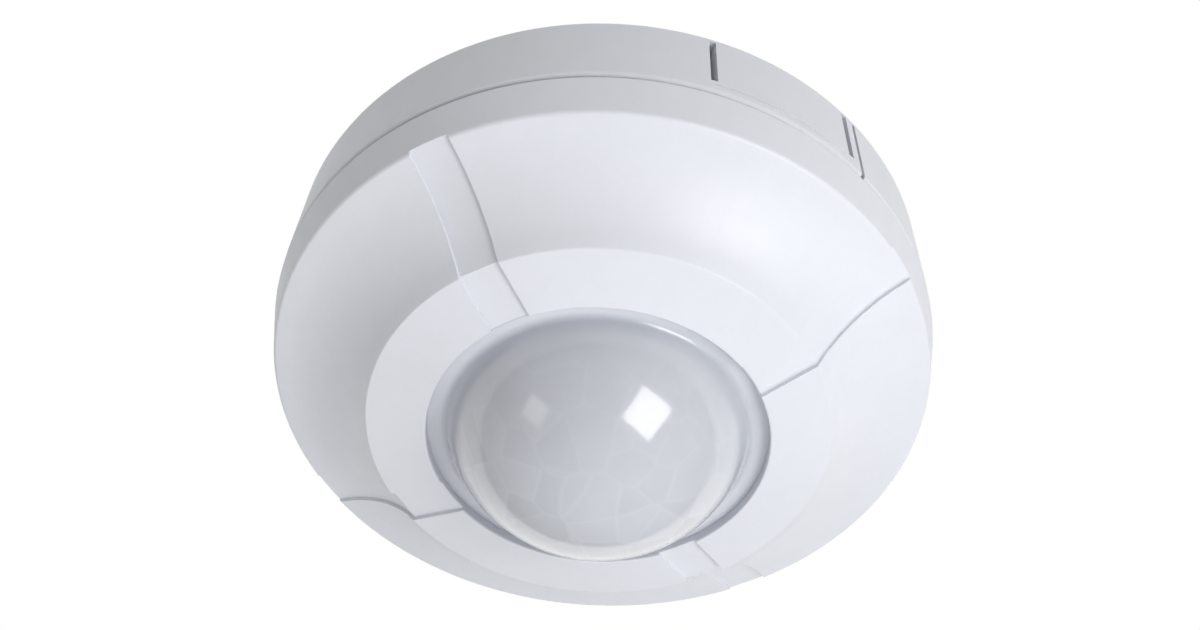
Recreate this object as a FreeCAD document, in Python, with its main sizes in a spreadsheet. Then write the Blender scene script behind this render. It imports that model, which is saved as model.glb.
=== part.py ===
"""A round motion sensor that is fixed to a ceiling, as a parametric document.

The origin is the centre of the back face, which lies against the ceiling, and the lens points
down, along -Z. Depths are distances below the ceiling, so a depth d lies at z = -d. Every size
is in millimetres and every azimuth in degrees from +X towards +Y.
"""
import FreeCAD, Part

import math
import os
import re

import Sketcher
from FreeCAD import Rotation, Vector

SIZES = {
    # base
    "base_back_radius": 51.6,
    "base_flare": 1.3,
    "base_depth": 16.3,
    "base_wall": 2.2,
    "back_plate": 2.4,
    "back_edge_round": 1.0,
    "lip_edge_round": 0.7,
    "fixing_circle": 35.0,
    "fixing_hole_radius": 2.25,
    "entry_radius": 10.0,
    "entry_recess_radius": 13.0,
    "entry_recess": 1.0,
    "post_inset": 6.0,
    "post_radius": 3.4,
    "long_slot_azimuth": -42.7,
    "latch_slot_azimuth": -15.2,
    "latch_gap_azimuth": -12.6,
    "slot_width": 0.8,
    "latch_gap_width": 0.5,
    "slot_start_depth": 1.6,
    "slot_margin": 3.7,
    "score_margin": 2.3,
    "score_width": 0.4,
    "score_cut": 0.35,
    # cable grommet
    "grommet_gap": 0.3,
    "grommet_back_gap": 0.2,
    "grommet_flange": 1.2,
    "grommet_hub": 1.4,
    "grommet_web": 1.0,
    "grommet_bore": 3.5,
    # cover
    "parting_gap": 0.6,
    "cover_overhang": 0.1,
    "cover_taper": 1.0,
    "cover_side_height": 7.9,
    "rim_round": 0.8,
    "cove_sag": 1.786,
    "cove_rise": 11.6,
    "collar_width": 9.6,
    "collar_rise": 2.2,
    "collar_round": 0.5,
    "opening_radius": 26.5,
    "opening_round": 0.35,
    "lip_thickness": 1.9,
    "cover_wall": 2.2,
    "spigot_wall": 1.6,
    "spigot_height": 3.5,
    "spigot_clearance": 0.3,
    "side_step": 0.88,
    "channel_width": 6.7,
    "channel_recess": 0.7,
    "blade_thickness": 2.0,
    "blade_width": 5.0,
    "blade_gap": 0.3,
    # lens and its retaining ring
    "flange_cover": 2.7,
    "flange_thickness": 1.2,
    "seat_clearance": 0.2,
    "dome_inset": 2.81,
    "dome_height": 17.7,
    "lens_skin": 0.9,
    "ring_foot_gap": 1.4,
    "ring_web": 1.6,
    "ring_flange": 1.2,
    "ring_overlap": 4.8,
    "ring_screw_radius": 1.0,
    "ring_screw_bite": 2.0,
    "ring_screw_head_radius": 1.8,
    "ring_screw_head": 1.2,
    "ring_recess_depth": 0.72,
    # circuit board and its screws
    "board_edge_gap": 5.4,
    "board_inset": 2.3,
    "board_thickness": 1.6,
    "board_hole_radius": 1.6,
    "access_hole_radius": 4.6,
    "wire_notch_width": 26.0,
    "wire_notch_depth": 6.5,
    "board_screw_radius": 1.25,
    "board_screw_bite": 7.0,
    "board_screw_head_radius": 2.8,
    "board_screw_head": 2.0,
    "recess_width": 0.7,
    "recess_span": 2.0,
    "recess_depth": 0.9,
    # infrared sensor on its spacer
    "spacer_radius": 6.5,
    "spacer_bore": 3.4,
    "can_radius": 4.1,
    "can_flange_radius": 4.6,
    "can_flange": 0.6,
    "can_height": 4.2,
    "window_width": 4.6,
    "window_length": 5.2,
    "window_thickness": 0.5,
    "lead_radius": 0.23,
    "lead_circle": 2.5,
    # lamp and light sensor
    "lamp_x": -10.5,
    "lamp_y": -4.5,
    "lamp_radius": 1.5,
    "lamp_foot_radius": 1.9,
    "lamp_foot": 1.0,
    "lamp_height": 5.0,
    "photocell_x": 7.6,
    "photocell_y": -8.2,
    "photocell_radius": 2.5,
    "photocell_foot_radius": 2.9,
    "photocell_foot": 1.0,
    "photocell_height": 4.0,
    # terminal block
    "terminal_inset": 13.5,
    "terminal_pitch": 5.08,
    "terminal_back": 2.3,
    "terminal_well": 5.2,
    "terminal_end": 0.6,
    "terminal_floor": 1.2,
    "clamp_width": 3.8,
    "clamp_length": 5.6,
    "clamp_height": 4.6,
    "clamp_wall": 0.7,
    "terminal_screw_radius": 1.25,
    "terminal_head_radius": 1.8,
    "terminal_head": 1.6,
    "terminal_well_radius": 2.0,
    "terminal_screw_sink": 1.0,
    # adjusters
    "time_adjuster_x": -25.0,
    "time_adjuster_y": -11.0,
    "light_adjuster_x": -14.6,
    "light_adjuster_y": -17.5,
    "adjuster_wall": 1.2,
    "adjuster_floor": 2.8,
    "rotor_radius": 2.8,
    "rotor_sunk": 1.8,
    "rotor_proud": 1.4,
    "rotor_play": 0.08,
    "rotor_slot_width": 0.8,
    "rotor_slot_length": 4.2,
    "rotor_slot_depth": 0.9,
    "rotor_pointer": 1.0,
    # mode switch
    "mode_switch_x": 15.0,
    "mode_switch_y": -18.5,
    "mode_switch_end": 0.44,
    "mode_switch_rim": 1.65,
    "mode_switch_floor": 2.2,
    "slider_pitch": 2.54,
    "slider_width": 1.3,
    "slider_length": 1.5,
    "slider_travel": 1.6,
    "slider_sunk": 1.2,
    "slider_proud": 0.6,
    "slider_play": 0.1,
    # tamper switch
    "tamper_outset": 0.3,
    "tamper_azimuth": 20.0,
    "tamper_wall": 1.5,
    "tamper_floor": 1.5,
    "plunger_radius": 1.5,
    "plunger_sunk": 2.6,
    "plunger_proud": 1.4,
    "plunger_travel": 0.9,
    "plunger_play": 0.08,
    # other components on the board
    "relay_x": 21.0,
    "relay_y": 2.0,
    "relay_length": 15.4,
    "relay_width": 19.0,
    "relay_height": 14.6,
    "relay_round": 0.6,
    "film_capacitor_x": -12.0,
    "film_capacitor_y": 27.0,
    "film_capacitor_length": 18.0,
    "film_capacitor_width": 7.0,
    "film_capacitor_height": 12.5,
    "film_capacitor_round": 0.5,
    "large_capacitor_x": -27.5,
    "large_capacitor_y": 12.5,
    "large_capacitor_radius": 5.0,
    "large_capacitor_height": 12.5,
    "small_capacitor_x": -28.5,
    "small_capacitor_y": 1.5,
    "small_capacitor_radius": 3.15,
    "small_capacitor_height": 11.0,
    "capacitor_round": 0.5,
    "varistor_x": 9.0,
    "varistor_y": 28.0,
    "varistor_radius": 4.6,
    "varistor_thickness": 3.8,
    "varistor_lift": 1.0,
    "varistor_lead_radius": 0.3,
    "varistor_lead_spacing": 5.0,
    "fuse_x": 12.2,
    "fuse_y": 18.6,
    "fuse_radius": 4.2,
    "fuse_height": 7.7,
    "rectifier_x": -14.6,
    "rectifier_y": 13.6,
    "rectifier_length": 8.4,
    "rectifier_width": 6.4,
    "rectifier_height": 3.2,
    "rectifier_chamfer": 0.5,
    "controller_x": 0.0,
    "controller_y": 13.2,
    "controller_length": 10.0,
    "controller_width": 4.0,
    "controller_height": 1.8,
    "controller_chamfer": 0.35,
    "controller_pitch": 1.27,
    "pin_width": 0.4,
    "pin_reach": 1.0,
    "pin_thickness": 0.25,
    "chip_length": 2.0,
    "chip_width": 1.25,
    "chip_height": 0.6,
    "chip_pitch": 2.6,
    "chip_row_x": -7.6,
    "chip_row_y": 19.4,
    "chip_column_x": -17.6,
    "chip_column_y": -8.0,
}
TERMINALS = 5
SLIDERS = 4
CONTROLLER_PINS = 7
CHIPS_IN_ROW = 6
CHIPS_IN_COLUMN = 5
CHANNELS = 4
BOARD_SCREW_AZIMUTHS = (90, 210, 330)
RING_SCREW_AZIMUTHS = (45, 165, 285)
FIXING_AZIMUTHS = (45, 225)
LEAD_AZIMUTHS = (30, 150, 270)
TINY = 1e-4

# Radii, from the back edge outwards and from the lens opening outwards.
LIP_RADIUS = "(base_back_radius + base_flare)"
COVER_BACK_RADIUS = f"({LIP_RADIUS} + cover_overhang)"
RIM_RADIUS = f"({COVER_BACK_RADIUS} - cover_taper)"
BASE_INNER = "(base_back_radius - base_wall)"
SPIGOT_OUTER = f"({BASE_INNER} - spigot_clearance)"
SPIGOT_INNER = f"({SPIGOT_OUTER} - spigot_wall)"
BOARD_RADIUS = f"({BASE_INNER} - board_edge_gap)"
POST_CIRCLE = f"({BOARD_RADIUS} - post_inset)"
COLLAR_RADIUS = "(opening_radius + collar_width)"
FLANGE_RADIUS = "(opening_radius + flange_cover)"
DOME_RADIUS = "(opening_radius - dome_inset)"
RING_BORE = f"({DOME_RADIUS} + ring_foot_gap)"
RING_RADIUS = f"({FLANGE_RADIUS} + ring_overlap)"
RING_SCREW_CIRCLE = f"(({FLANGE_RADIUS} + seat_clearance + {RING_RADIUS})/2)"
TAMPER_CIRCLE = f"({COLLAR_RADIUS} + tamper_outset)"
GROMMET_RADIUS = "(entry_recess_radius - grommet_gap)"
GROMMET_HUB_RADIUS = "(entry_radius - grommet_hub)"

# Depths below the ceiling.
SLOT_END_DEPTH = "(base_depth - slot_margin)"
SCORE_DEPTH = "(base_depth - score_margin)"
BOARD_BACK = "(base_depth - board_inset)"
BOARD_FRONT = f"({BOARD_BACK} + board_thickness)"
COVER_TOP = "(base_depth + parting_gap)"
RIM_DEPTH = f"({COVER_TOP} + cover_side_height)"
COLLAR_DEPTH = f"({RIM_DEPTH} + cove_rise)"
OPENING_DEPTH = f"({COLLAR_DEPTH} + collar_rise)"
SEAT_DEPTH = f"({OPENING_DEPTH} - lip_thickness)"
FLANGE_BACK = f"({SEAT_DEPTH} - flange_thickness)"
LEDGE_DEPTH = f"({FLANGE_BACK} - ring_web)"

# The concave front is an arc through the rim and the collar's edge, centred in front of it.
COVE_RUN = f"({RIM_RADIUS} - {COLLAR_RADIUS})"
COVE_CHORD = f"sqrt({COVE_RUN}^2 + cove_rise^2)"
COVE_RADIUS = f"((({COVE_CHORD}/2)^2 + cove_sag^2)/(2*cove_sag))"
COVE_SET_BACK = f"({COVE_RADIUS} - cove_sag)"
COVE_X = f"(({RIM_RADIUS} + {COLLAR_RADIUS})/2 + {COVE_SET_BACK}*cove_rise/{COVE_CHORD})"
COVE_DEPTH = f"(({RIM_DEPTH} + {COLLAR_DEPTH})/2 + {COVE_SET_BACK}*{COVE_RUN}/{COVE_CHORD})"

# The dome is a spherical cap that stands on the lens's flange.
DOME_SPHERE = f"(({DOME_RADIUS}^2 + dome_height^2)/(2*dome_height))"
DOME_CENTRE = f"({SEAT_DEPTH} + dome_height - {DOME_SPHERE})"

# Heights and widths of what holds another piece.
POST_HEIGHT = f"({BOARD_BACK} - back_plate)"
SPACER_HEIGHT = f"({DOME_CENTRE} - can_height - {BOARD_FRONT})"
SENSOR_SEAT = f"({BOARD_FRONT} + {SPACER_HEIGHT})"
TERMINAL_Y = f"(-{BOARD_RADIUS} + terminal_inset)"
TERMINAL_DEPTH = "(clamp_wall + clamp_length + terminal_back)"
TERMINAL_HEIGHT = "(terminal_floor + clamp_height + terminal_well)"
ADJUSTER_WIDTH = "(2*rotor_radius + 2*adjuster_wall)"
ADJUSTER_HEIGHT = "(rotor_sunk + adjuster_floor)"
MODE_SWITCH_LENGTH = f"({SLIDERS}*slider_pitch + mode_switch_end)"
MODE_SWITCH_WIDTH = "(slider_length + slider_travel + 2*mode_switch_rim)"
MODE_SWITCH_HEIGHT = "(slider_sunk + mode_switch_floor)"
TAMPER_WIDTH = "(2*plunger_radius + 2*tamper_wall)"
TAMPER_HEIGHT = "(plunger_sunk + plunger_travel + tamper_floor)"
PLUNGER_TIP = f"({BOARD_FRONT} + {TAMPER_HEIGHT} + plunger_proud)"

doc = FreeCAD.newDocument("motion_sensor")
sheet = doc.addObject("Spreadsheet::Sheet", "sizes")
for row, (alias, size) in enumerate(SIZES.items(), start=1):
    sheet.set(f"A{row}", alias)
    sheet.set(f"B{row}", str(size))
    sheet.setAlias(f"B{row}", alias)
doc.recompute()


# ---------------------------------------------------------------- expressions
def in_sheet(text):
    """Write the names of sizes in an expression as cells of the sheet."""
    def cell(match):
        word = match.group()
        return f"sizes.{word}" if word in SIZES else word
    return re.sub(r"[a-z_]+", cell, str(text))


def number(text):
    """The value of an expression of sizes."""
    return float(sheet.evalExpression(in_sheet(text)))


def bind(item, name, text):
    """Tie one property of an object to an expression of sizes."""
    item.setExpression(name, in_sheet(text))


def cove_radius_at(depth, added):
    """Radius at a depth on the concave front, sunk into the wall by the size added."""
    return f"({COVE_X} - sqrt(({COVE_RADIUS} + {added})^2 - ({COVE_DEPTH} - {depth})^2))"


def cove_depth_at(radius, added):
    """Depth at a radius on the concave front, sunk into the wall by the size added."""
    return f"({COVE_DEPTH} - sqrt(({COVE_RADIUS} + {added})^2 - ({COVE_X} - {radius})^2))"


# ---------------------------------------------------------------- sketches and bodies
def new_body(label):
    """An empty body for one sub-part or for the turned blank of one."""
    body = doc.addObject("PartDesign::Body", label)
    body.Label = label
    return body


def origin_of(body, role):
    """One plane or axis of a body's own origin."""
    return next(item for item in body.Origin.OriginFeatures if item.Role == role)


def hold(sketch, element, place, across, up):
    """Tie a point of a sketch to its two coordinates."""
    for kind, text, axis in (("DistanceX", across, -2), ("DistanceY", up, -1)):
        if text == "0":
            sketch.addConstraint(Sketcher.Constraint("PointOnObject", element, place, axis))
            continue
        constraint = Sketcher.Constraint(kind, -1, 1, element, place, number(text))
        index = sketch.addConstraint(constraint)
        bind(sketch, f"Constraints[{index}]", text)


def add_side(sketch, first, last, arc):
    """Draw one side of an outline and give its element and the places of its two ends."""
    if arc is None:
        return sketch.addGeometry(Part.LineSegment(first, last), False), 1, 2
    radius, centre_x, centre_y = arc
    centre = Vector(number(centre_x), number(centre_y), 0)
    angles = [math.atan2(point.y - centre.y, point.x - centre.x) for point in (first, last)]
    forward = (angles[1] - angles[0]) % (2 * math.pi) < math.pi
    if not forward:
        angles.reverse()
    circle = Part.Circle(centre, Vector(0, 0, 1), number(radius))
    element = sketch.addGeometry(Part.ArcOfCircle(circle, angles[0], angles[1]), False)
    index = sketch.addConstraint(Sketcher.Constraint("Radius", element, number(radius)))
    bind(sketch, f"Constraints[{index}]", radius)
    return (element, 1, 2) if forward else (element, 2, 1)


def outline(body, name, corners, arcs=None):
    """A closed outline on a body's XZ plane, with every corner held by the sheet.

    corners are pairs of a radius and a depth. arcs gives, for the number of the corner where a
    curved side starts, its radius and its centre's radius and depth.
    """
    arcs = arcs or {}
    sketch = body.newObject("Sketcher::SketchObject", name)
    sketch.AttachmentSupport = [(origin_of(body, "XZ_Plane"), "")]
    sketch.MapMode = "FlatFace"
    places = [(across, "0" if depth == "0" else f"-({depth})") for across, depth in corners]
    points = [Vector(number(across), number(up), 0) for across, up in places]
    sides = []
    for corner, first in enumerate(points):
        arc = arcs.get(corner)
        if arc is not None:
            arc = (arc[0], arc[1], f"-({arc[2]})")
        last = points[(corner + 1) % len(points)]
        sides.append(add_side(sketch, first, last, arc))
    for corner, (element, start, _end) in enumerate(sides):
        before, _start, finish = sides[corner - 1]
        sketch.addConstraint(Sketcher.Constraint("Coincident", before, finish, element, start))
        hold(sketch, element, start, *places[corner])
    return sketch


def turn(body, name, corners, arcs=None):
    """Turn a closed outline round the body's Z axis."""
    sketch = outline(body, f"{name}_outline", corners, arcs)
    feature = body.newObject("PartDesign::Revolution", name)
    feature.Profile = sketch
    feature.ReferenceAxis = (sketch, ["V_Axis"])
    feature.Angle = 360
    doc.recompute()
    return feature


def round_edge(body, name, radius, depth, size):
    """Round the one circular edge of a body that has this radius and depth."""
    previous = body.Tip
    edges = []
    for index, edge in enumerate(previous.Shape.Edges, start=1):
        if not isinstance(edge.Curve, Part.Circle):
            continue
        same_radius = abs(edge.Curve.Radius - number(radius)) < TINY
        same_depth = abs(edge.Curve.Center.z + number(depth)) < TINY
        if same_radius and same_depth:
            edges.append(f"Edge{index}")
    if not edges:
        raise RuntimeError(f"{name} has no edge to round")
    fillet = body.newObject("PartDesign::Fillet", name)
    fillet.Base = (previous, edges)
    bind(fillet, "Radius", size)
    doc.recompute()


# ---------------------------------------------------------------- primitives and booleans
def place(item, x, y, z):
    """Tie an object's position to the sheet."""
    for axis, text in zip("xyz", (x, y, z)):
        bind(item, f"Placement.Base.{axis}", text)


def block(name, size, middle, depth):
    """A box with its middle at x and y, from a depth downwards."""
    length, width, height = size
    x, y = middle
    item = doc.addObject("Part::Box", name)
    bind(item, "Length", length)
    bind(item, "Width", width)
    bind(item, "Height", height)
    place(item, f"{x} - ({length})/2", f"{y} - ({width})/2", f"-({depth}) - ({height})")
    return item


def rod(name, radius, height, middle, depth):
    """An upright cylinder with its middle at x and y, from a depth downwards."""
    x, y = middle
    item = doc.addObject("Part::Cylinder", name)
    bind(item, "Radius", radius)
    bind(item, "Height", height)
    place(item, x, y, f"-({depth}) - ({height})")
    return item


def radial_block(name, size, circle, azimuth, depth):
    """A box turned to an azimuth, with its middle on a circle, from a depth downwards."""
    length, width, height = size
    item = doc.addObject("Part::Box", name)
    bind(item, "Length", length)
    bind(item, "Width", width)
    bind(item, "Height", height)
    item.Placement.Rotation = Rotation(Vector(0, 0, 1), number(azimuth))
    inner = f"({circle} - ({length})/2)"
    side = f"(({width})/2)"
    x = f"{inner}*cos({azimuth}) + {side}*sin({azimuth})"
    y = f"{inner}*sin({azimuth}) - {side}*cos({azimuth})"
    place(item, x, y, f"-({depth}) - ({height})")
    return item


def on_circle(circle, azimuth):
    """The x and y of a point on a circle about the Z axis."""
    return f"({circle})*cos({azimuth})", f"({circle})*sin({azimuth})"


def join(name, items):
    """One solid of several that overlap or touch."""
    fuse = doc.addObject("Part::MultiFuse", name)
    fuse.Shapes = items
    return fuse


def cut(name, item, tools):
    """A solid with one tool or several taken away."""
    result = doc.addObject("Part::Cut", name)
    result.Base = item
    result.Tool = tools[0] if len(tools) == 1 else join(f"{name}_tools", tools)
    return result


def group(name, items):
    """Separate solids that share one sub-part."""
    compound = doc.addObject("Part::Compound", name)
    compound.Links = items
    return compound


def rounded(name, item, size, chamfer=False):
    """A box with its upright edges and those of its front face rounded or chamfered."""
    doc.recompute()
    front = item.Shape.BoundBox.ZMin
    amount = number(size)
    edges = []
    for index, edge in enumerate(item.Shape.Edges, start=1):
        heights = [vertex.Z for vertex in edge.Vertexes]
        upright = abs(heights[0] - heights[-1]) > TINY
        if upright or max(heights) - front < TINY:
            edges.append((index, amount, amount))
    kind = "Part::Chamfer" if chamfer else "Part::Fillet"
    result = doc.addObject(kind, name)
    result.Base = item
    result.Edges = edges
    return result


def rounded_top(name, item, size):
    """A cylinder with its front edge rounded."""
    doc.recompute()
    front = item.Shape.BoundBox.ZMin
    amount = number(size)
    edges = [(index, amount, amount) for index, edge in enumerate(item.Shape.Edges, start=1)
             if max(vertex.Z for vertex in edge.Vertexes) - front < TINY]
    result = doc.addObject("Part::Fillet", name)
    result.Base = item
    result.Edges = edges
    return result


# ---------------------------------------------------------------- housing
def make_base():
    """The moulding against the ceiling: back plate, outer wall, board posts, holes and slots."""
    shell = new_body("base_shell")
    turn(shell, "base_cup", [
        ("0", "0"),
        ("base_back_radius", "0"),
        (LIP_RADIUS, "base_depth"),
        (BASE_INNER, "base_depth"),
        (BASE_INNER, "back_plate"),
        ("0", "back_plate"),
    ])
    round_edge(shell, "back_edge", "base_back_radius", "0", "back_edge_round")
    round_edge(shell, "lip_edge", LIP_RADIUS, "base_depth", "lip_edge_round")
    posts = [rod(f"post_{azimuth}", "post_radius", f"{POST_HEIGHT} + back_plate/2",
                 on_circle(POST_CIRCLE, azimuth), "back_plate/2")
             for azimuth in BOARD_SCREW_AZIMUTHS]
    holes = [rod(f"pilot_{azimuth}", "board_screw_radius", "board_screw_bite",
                 on_circle(POST_CIRCLE, azimuth), f"{BOARD_BACK} - board_screw_bite")
             for azimuth in BOARD_SCREW_AZIMUTHS]
    holes += [rod(f"fixing_{azimuth}", "fixing_hole_radius", "3*back_plate",
                  on_circle("fixing_circle", azimuth), "-back_plate")
              for azimuth in FIXING_AZIMUTHS]
    holes.append(rod("entry", "entry_radius", "3*back_plate", ("0", "0"), "-back_plate"))
    holes.append(rod("entry_recess_cut", "entry_recess_radius", "entry_recess + back_plate",
                     ("0", "0"), "-back_plate"))
    through = "4*base_wall"
    slot = f"{SLOT_END_DEPTH} - slot_start_depth"
    wall_middle = f"({LIP_RADIUS} - base_wall)"
    holes.append(radial_block("long_slot", (through, "slot_width", slot), wall_middle,
                              "long_slot_azimuth", "slot_start_depth"))
    holes.append(radial_block("latch_slot", (through, "slot_width", slot), wall_middle,
                              "latch_slot_azimuth", "slot_start_depth"))
    holes.append(radial_block("latch_gap", (through, "latch_gap_width", "base_depth"),
                              wall_middle, "latch_gap_azimuth", "slot_start_depth"))
    holes.append(make_score())
    cut("base", join("base_with_posts", [shell] + posts), holes)


def make_score():
    """The shallow break line round the outside of the knock-out panel, between two slots."""
    ring = doc.addObject("Part::Cylinder", "score_outside")
    core = doc.addObject("Part::Cylinder", "score_inside")
    surface = f"(base_back_radius + ({LIP_RADIUS} - base_back_radius)*{SCORE_DEPTH}/base_depth)"
    for item, radius in ((ring, f"2*{LIP_RADIUS}"), (core, f"{surface} - score_cut")):
        bind(item, "Radius", radius)
        bind(item, "Height", "score_width")
        place(item, "0", "0", f"-{SCORE_DEPTH} - score_width")
    bind(ring, "Angle", "latch_slot_azimuth - long_slot_azimuth")
    ring.Placement.Rotation = Rotation(Vector(0, 0, 1), number("long_slot_azimuth"))
    return cut("score", ring, [core])


def make_grommet():
    """The rubber grommet that grips the edge of the cable entry, flush with the back face."""
    web_back = "(back_plate - grommet_web)"
    turn(new_body("cable_grommet"), "grommet", [
        ("grommet_bore", web_back),
        (GROMMET_HUB_RADIUS, web_back),
        (GROMMET_HUB_RADIUS, "grommet_back_gap"),
        (GROMMET_RADIUS, "grommet_back_gap"),
        (GROMMET_RADIUS, "entry_recess"),
        ("entry_radius", "entry_recess"),
        ("entry_radius", "back_plate"),
        (GROMMET_RADIUS, "back_plate"),
        (GROMMET_RADIUS, "back_plate + grommet_flange"),
        (GROMMET_HUB_RADIUS, "back_plate + grommet_flange"),
        (GROMMET_HUB_RADIUS, "back_plate"),
        ("grommet_bore", "back_plate"),
    ])


def make_cover():
    """The front moulding: side wall, concave front, collar, channels, spigot and tamper blade."""
    shell = new_body("cover_shell")
    side_inner = f"({SPIGOT_OUTER} + side_step)"
    shoulder = f"({COVER_TOP} + spigot_wall)"
    inner = (f"{COVE_RADIUS} + cover_wall", COVE_X, COVE_DEPTH)
    outer = (COVE_RADIUS, COVE_X, COVE_DEPTH)
    turn(shell, "cover_blank", [
        (COVER_BACK_RADIUS, COVER_TOP),
        (RIM_RADIUS, RIM_DEPTH),
        (COLLAR_RADIUS, COLLAR_DEPTH),
        ("opening_radius", OPENING_DEPTH),
        ("opening_radius", SEAT_DEPTH),
        (f"{FLANGE_RADIUS} + seat_clearance", SEAT_DEPTH),
        (f"{FLANGE_RADIUS} + seat_clearance", LEDGE_DEPTH),
        (cove_radius_at(LEDGE_DEPTH, "cover_wall"), LEDGE_DEPTH),
        (side_inner, cove_depth_at(side_inner, "cover_wall")),
        (side_inner, f"{shoulder} + cover_wall"),
        (SPIGOT_INNER, shoulder),
        (SPIGOT_INNER, f"{COVER_TOP} - spigot_height"),
        (SPIGOT_OUTER, f"{COVER_TOP} - spigot_height"),
        (SPIGOT_OUTER, COVER_TOP),
    ], {1: outer, 7: inner})
    round_edge(shell, "rim_edge", RIM_RADIUS, RIM_DEPTH, "rim_round")
    round_edge(shell, "collar_edge", COLLAR_RADIUS, COLLAR_DEPTH, "collar_round")
    round_edge(shell, "opening_edge", "opening_radius", OPENING_DEPTH, "opening_round")
    cut_channels(shell)
    azimuth = "tamper_azimuth"
    root = cove_depth_at(TAMPER_CIRCLE, "cover_wall/2")
    blade_top = f"({PLUNGER_TIP} + blade_gap)"
    blade = radial_block("tamper_blade", ("blade_thickness", "blade_width",
                                          f"{root} - {blade_top}"),
                         TAMPER_CIRCLE, azimuth, blade_top)
    pilots = [rod(f"ring_pilot_{angle}", "ring_screw_radius", "ring_screw_bite",
                  on_circle(RING_SCREW_CIRCLE, angle), LEDGE_DEPTH)
              for angle in RING_SCREW_AZIMUTHS]
    cut("front_cover", join("cover_with_blade", [shell, blade]), pilots)


def cut_channels(shell):
    """Cut the four straight channels that run from the rim to the lens opening.

    The floor runs as steeply as the collar, so the wall over the lens's seat stays whole.
    """
    floor_depth = f"({COLLAR_DEPTH} - channel_recess)"
    inside = "(opening_radius - lip_thickness)"
    inside_depth = f"({OPENING_DEPTH} + lip_thickness*collar_rise/collar_width)"
    outside = f"({COVER_BACK_RADIUS} + cover_wall/2)"
    clear = f"({OPENING_DEPTH} + cover_wall)"
    sketch = outline(shell, "channel_outline", [
        (inside, f"{inside_depth} - channel_recess"),
        (cove_radius_at(floor_depth, "channel_recess"), floor_depth),
        (outside, cove_depth_at(outside, "channel_recess")),
        (outside, clear),
        (inside, clear),
    ], {1: (f"{COVE_RADIUS} + channel_recess", COVE_X, COVE_DEPTH)})
    channel = shell.newObject("PartDesign::Pocket", "channel")
    channel.Profile = sketch
    channel.SideType = "Symmetric"
    bind(channel, "Length", "channel_width")
    doc.recompute()
    pattern = shell.newObject("PartDesign::PolarPattern", "channels")
    pattern.Originals = [channel]
    pattern.Axis = (origin_of(shell, "Z_Axis"), [""])
    pattern.Angle = 360
    pattern.Occurrences = CHANNELS
    shell.Tip = pattern
    doc.recompute()


# ---------------------------------------------------------------- lens
def make_lens():
    """The lens: a thin spherical dome on a flat flange."""
    inner_sphere = f"({DOME_SPHERE} - lens_skin)"
    foot = f"sqrt({inner_sphere}^2 - ({FLANGE_BACK} - {DOME_CENTRE})^2)"
    turn(new_body("fresnel_lens"), "lens", [
        (FLANGE_RADIUS, SEAT_DEPTH),
        (FLANGE_RADIUS, FLANGE_BACK),
        (foot, FLANGE_BACK),
        ("0", f"{DOME_CENTRE} + {inner_sphere}"),
        ("0", f"{DOME_CENTRE} + {DOME_SPHERE}"),
        (DOME_RADIUS, SEAT_DEPTH),
    ], {2: (inner_sphere, "0", DOME_CENTRE), 4: (DOME_SPHERE, "0", DOME_CENTRE)})


def make_ring():
    """The stepped ring that clamps the lens's flange, and the screws that hold it."""
    blank = new_body("ring_blank")
    ring_back = f"({LEDGE_DEPTH} - ring_flange)"
    turn(blank, "ring", [
        (RING_BORE, FLANGE_BACK),
        (FLANGE_RADIUS, FLANGE_BACK),
        (FLANGE_RADIUS, LEDGE_DEPTH),
        (RING_RADIUS, LEDGE_DEPTH),
        (RING_RADIUS, ring_back),
        (RING_BORE, ring_back),
    ])
    holes = [rod(f"ring_hole_{azimuth}", "ring_screw_radius + seat_clearance", "ring_flange*3",
                 on_circle(RING_SCREW_CIRCLE, azimuth), f"{ring_back} - ring_flange")
             for azimuth in RING_SCREW_AZIMUTHS]
    cut("lens_retainer", blank, holes)
    screws = [make_screw(f"retainer_screw_{azimuth}", on_circle(RING_SCREW_CIRCLE, azimuth),
                         f"({ring_back} - ring_screw_head)",
                         ("ring_screw_head_radius", "ring_screw_head"),
                         ("ring_screw_radius", "(ring_flange + ring_screw_bite)"),
                         upward=True)
              for azimuth in RING_SCREW_AZIMUTHS]
    group("retainer_screws", screws)


def make_screw(name, middle, depth, head, shank, upward=False):
    """A screw with a cross recess, from the depth of its upper end.

    upward means that the head is at the upper end and faces the ceiling.
    """
    head_radius, head_height = head
    shank_radius, shank_length = shank
    head_depth = depth if upward else f"({depth} + {shank_length})"
    shank_depth = f"({depth} + {head_height})" if upward else depth
    cut_depth = "ring_recess_depth" if upward else "recess_depth"
    face = head_depth if upward else f"({head_depth} + {head_height} - recess_depth)"
    solid = join(f"{name}_blank", [
        rod(f"{name}_head", head_radius, head_height, middle, head_depth),
        rod(f"{name}_shank", shank_radius, shank_length, middle, shank_depth),
    ])
    bars = [
        block(f"{name}_bar_x", ("recess_span", "recess_width", cut_depth), middle, face),
        block(f"{name}_bar_y", ("recess_width", "recess_span", cut_depth), middle, face),
    ]
    return cut(name, solid, bars)


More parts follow.
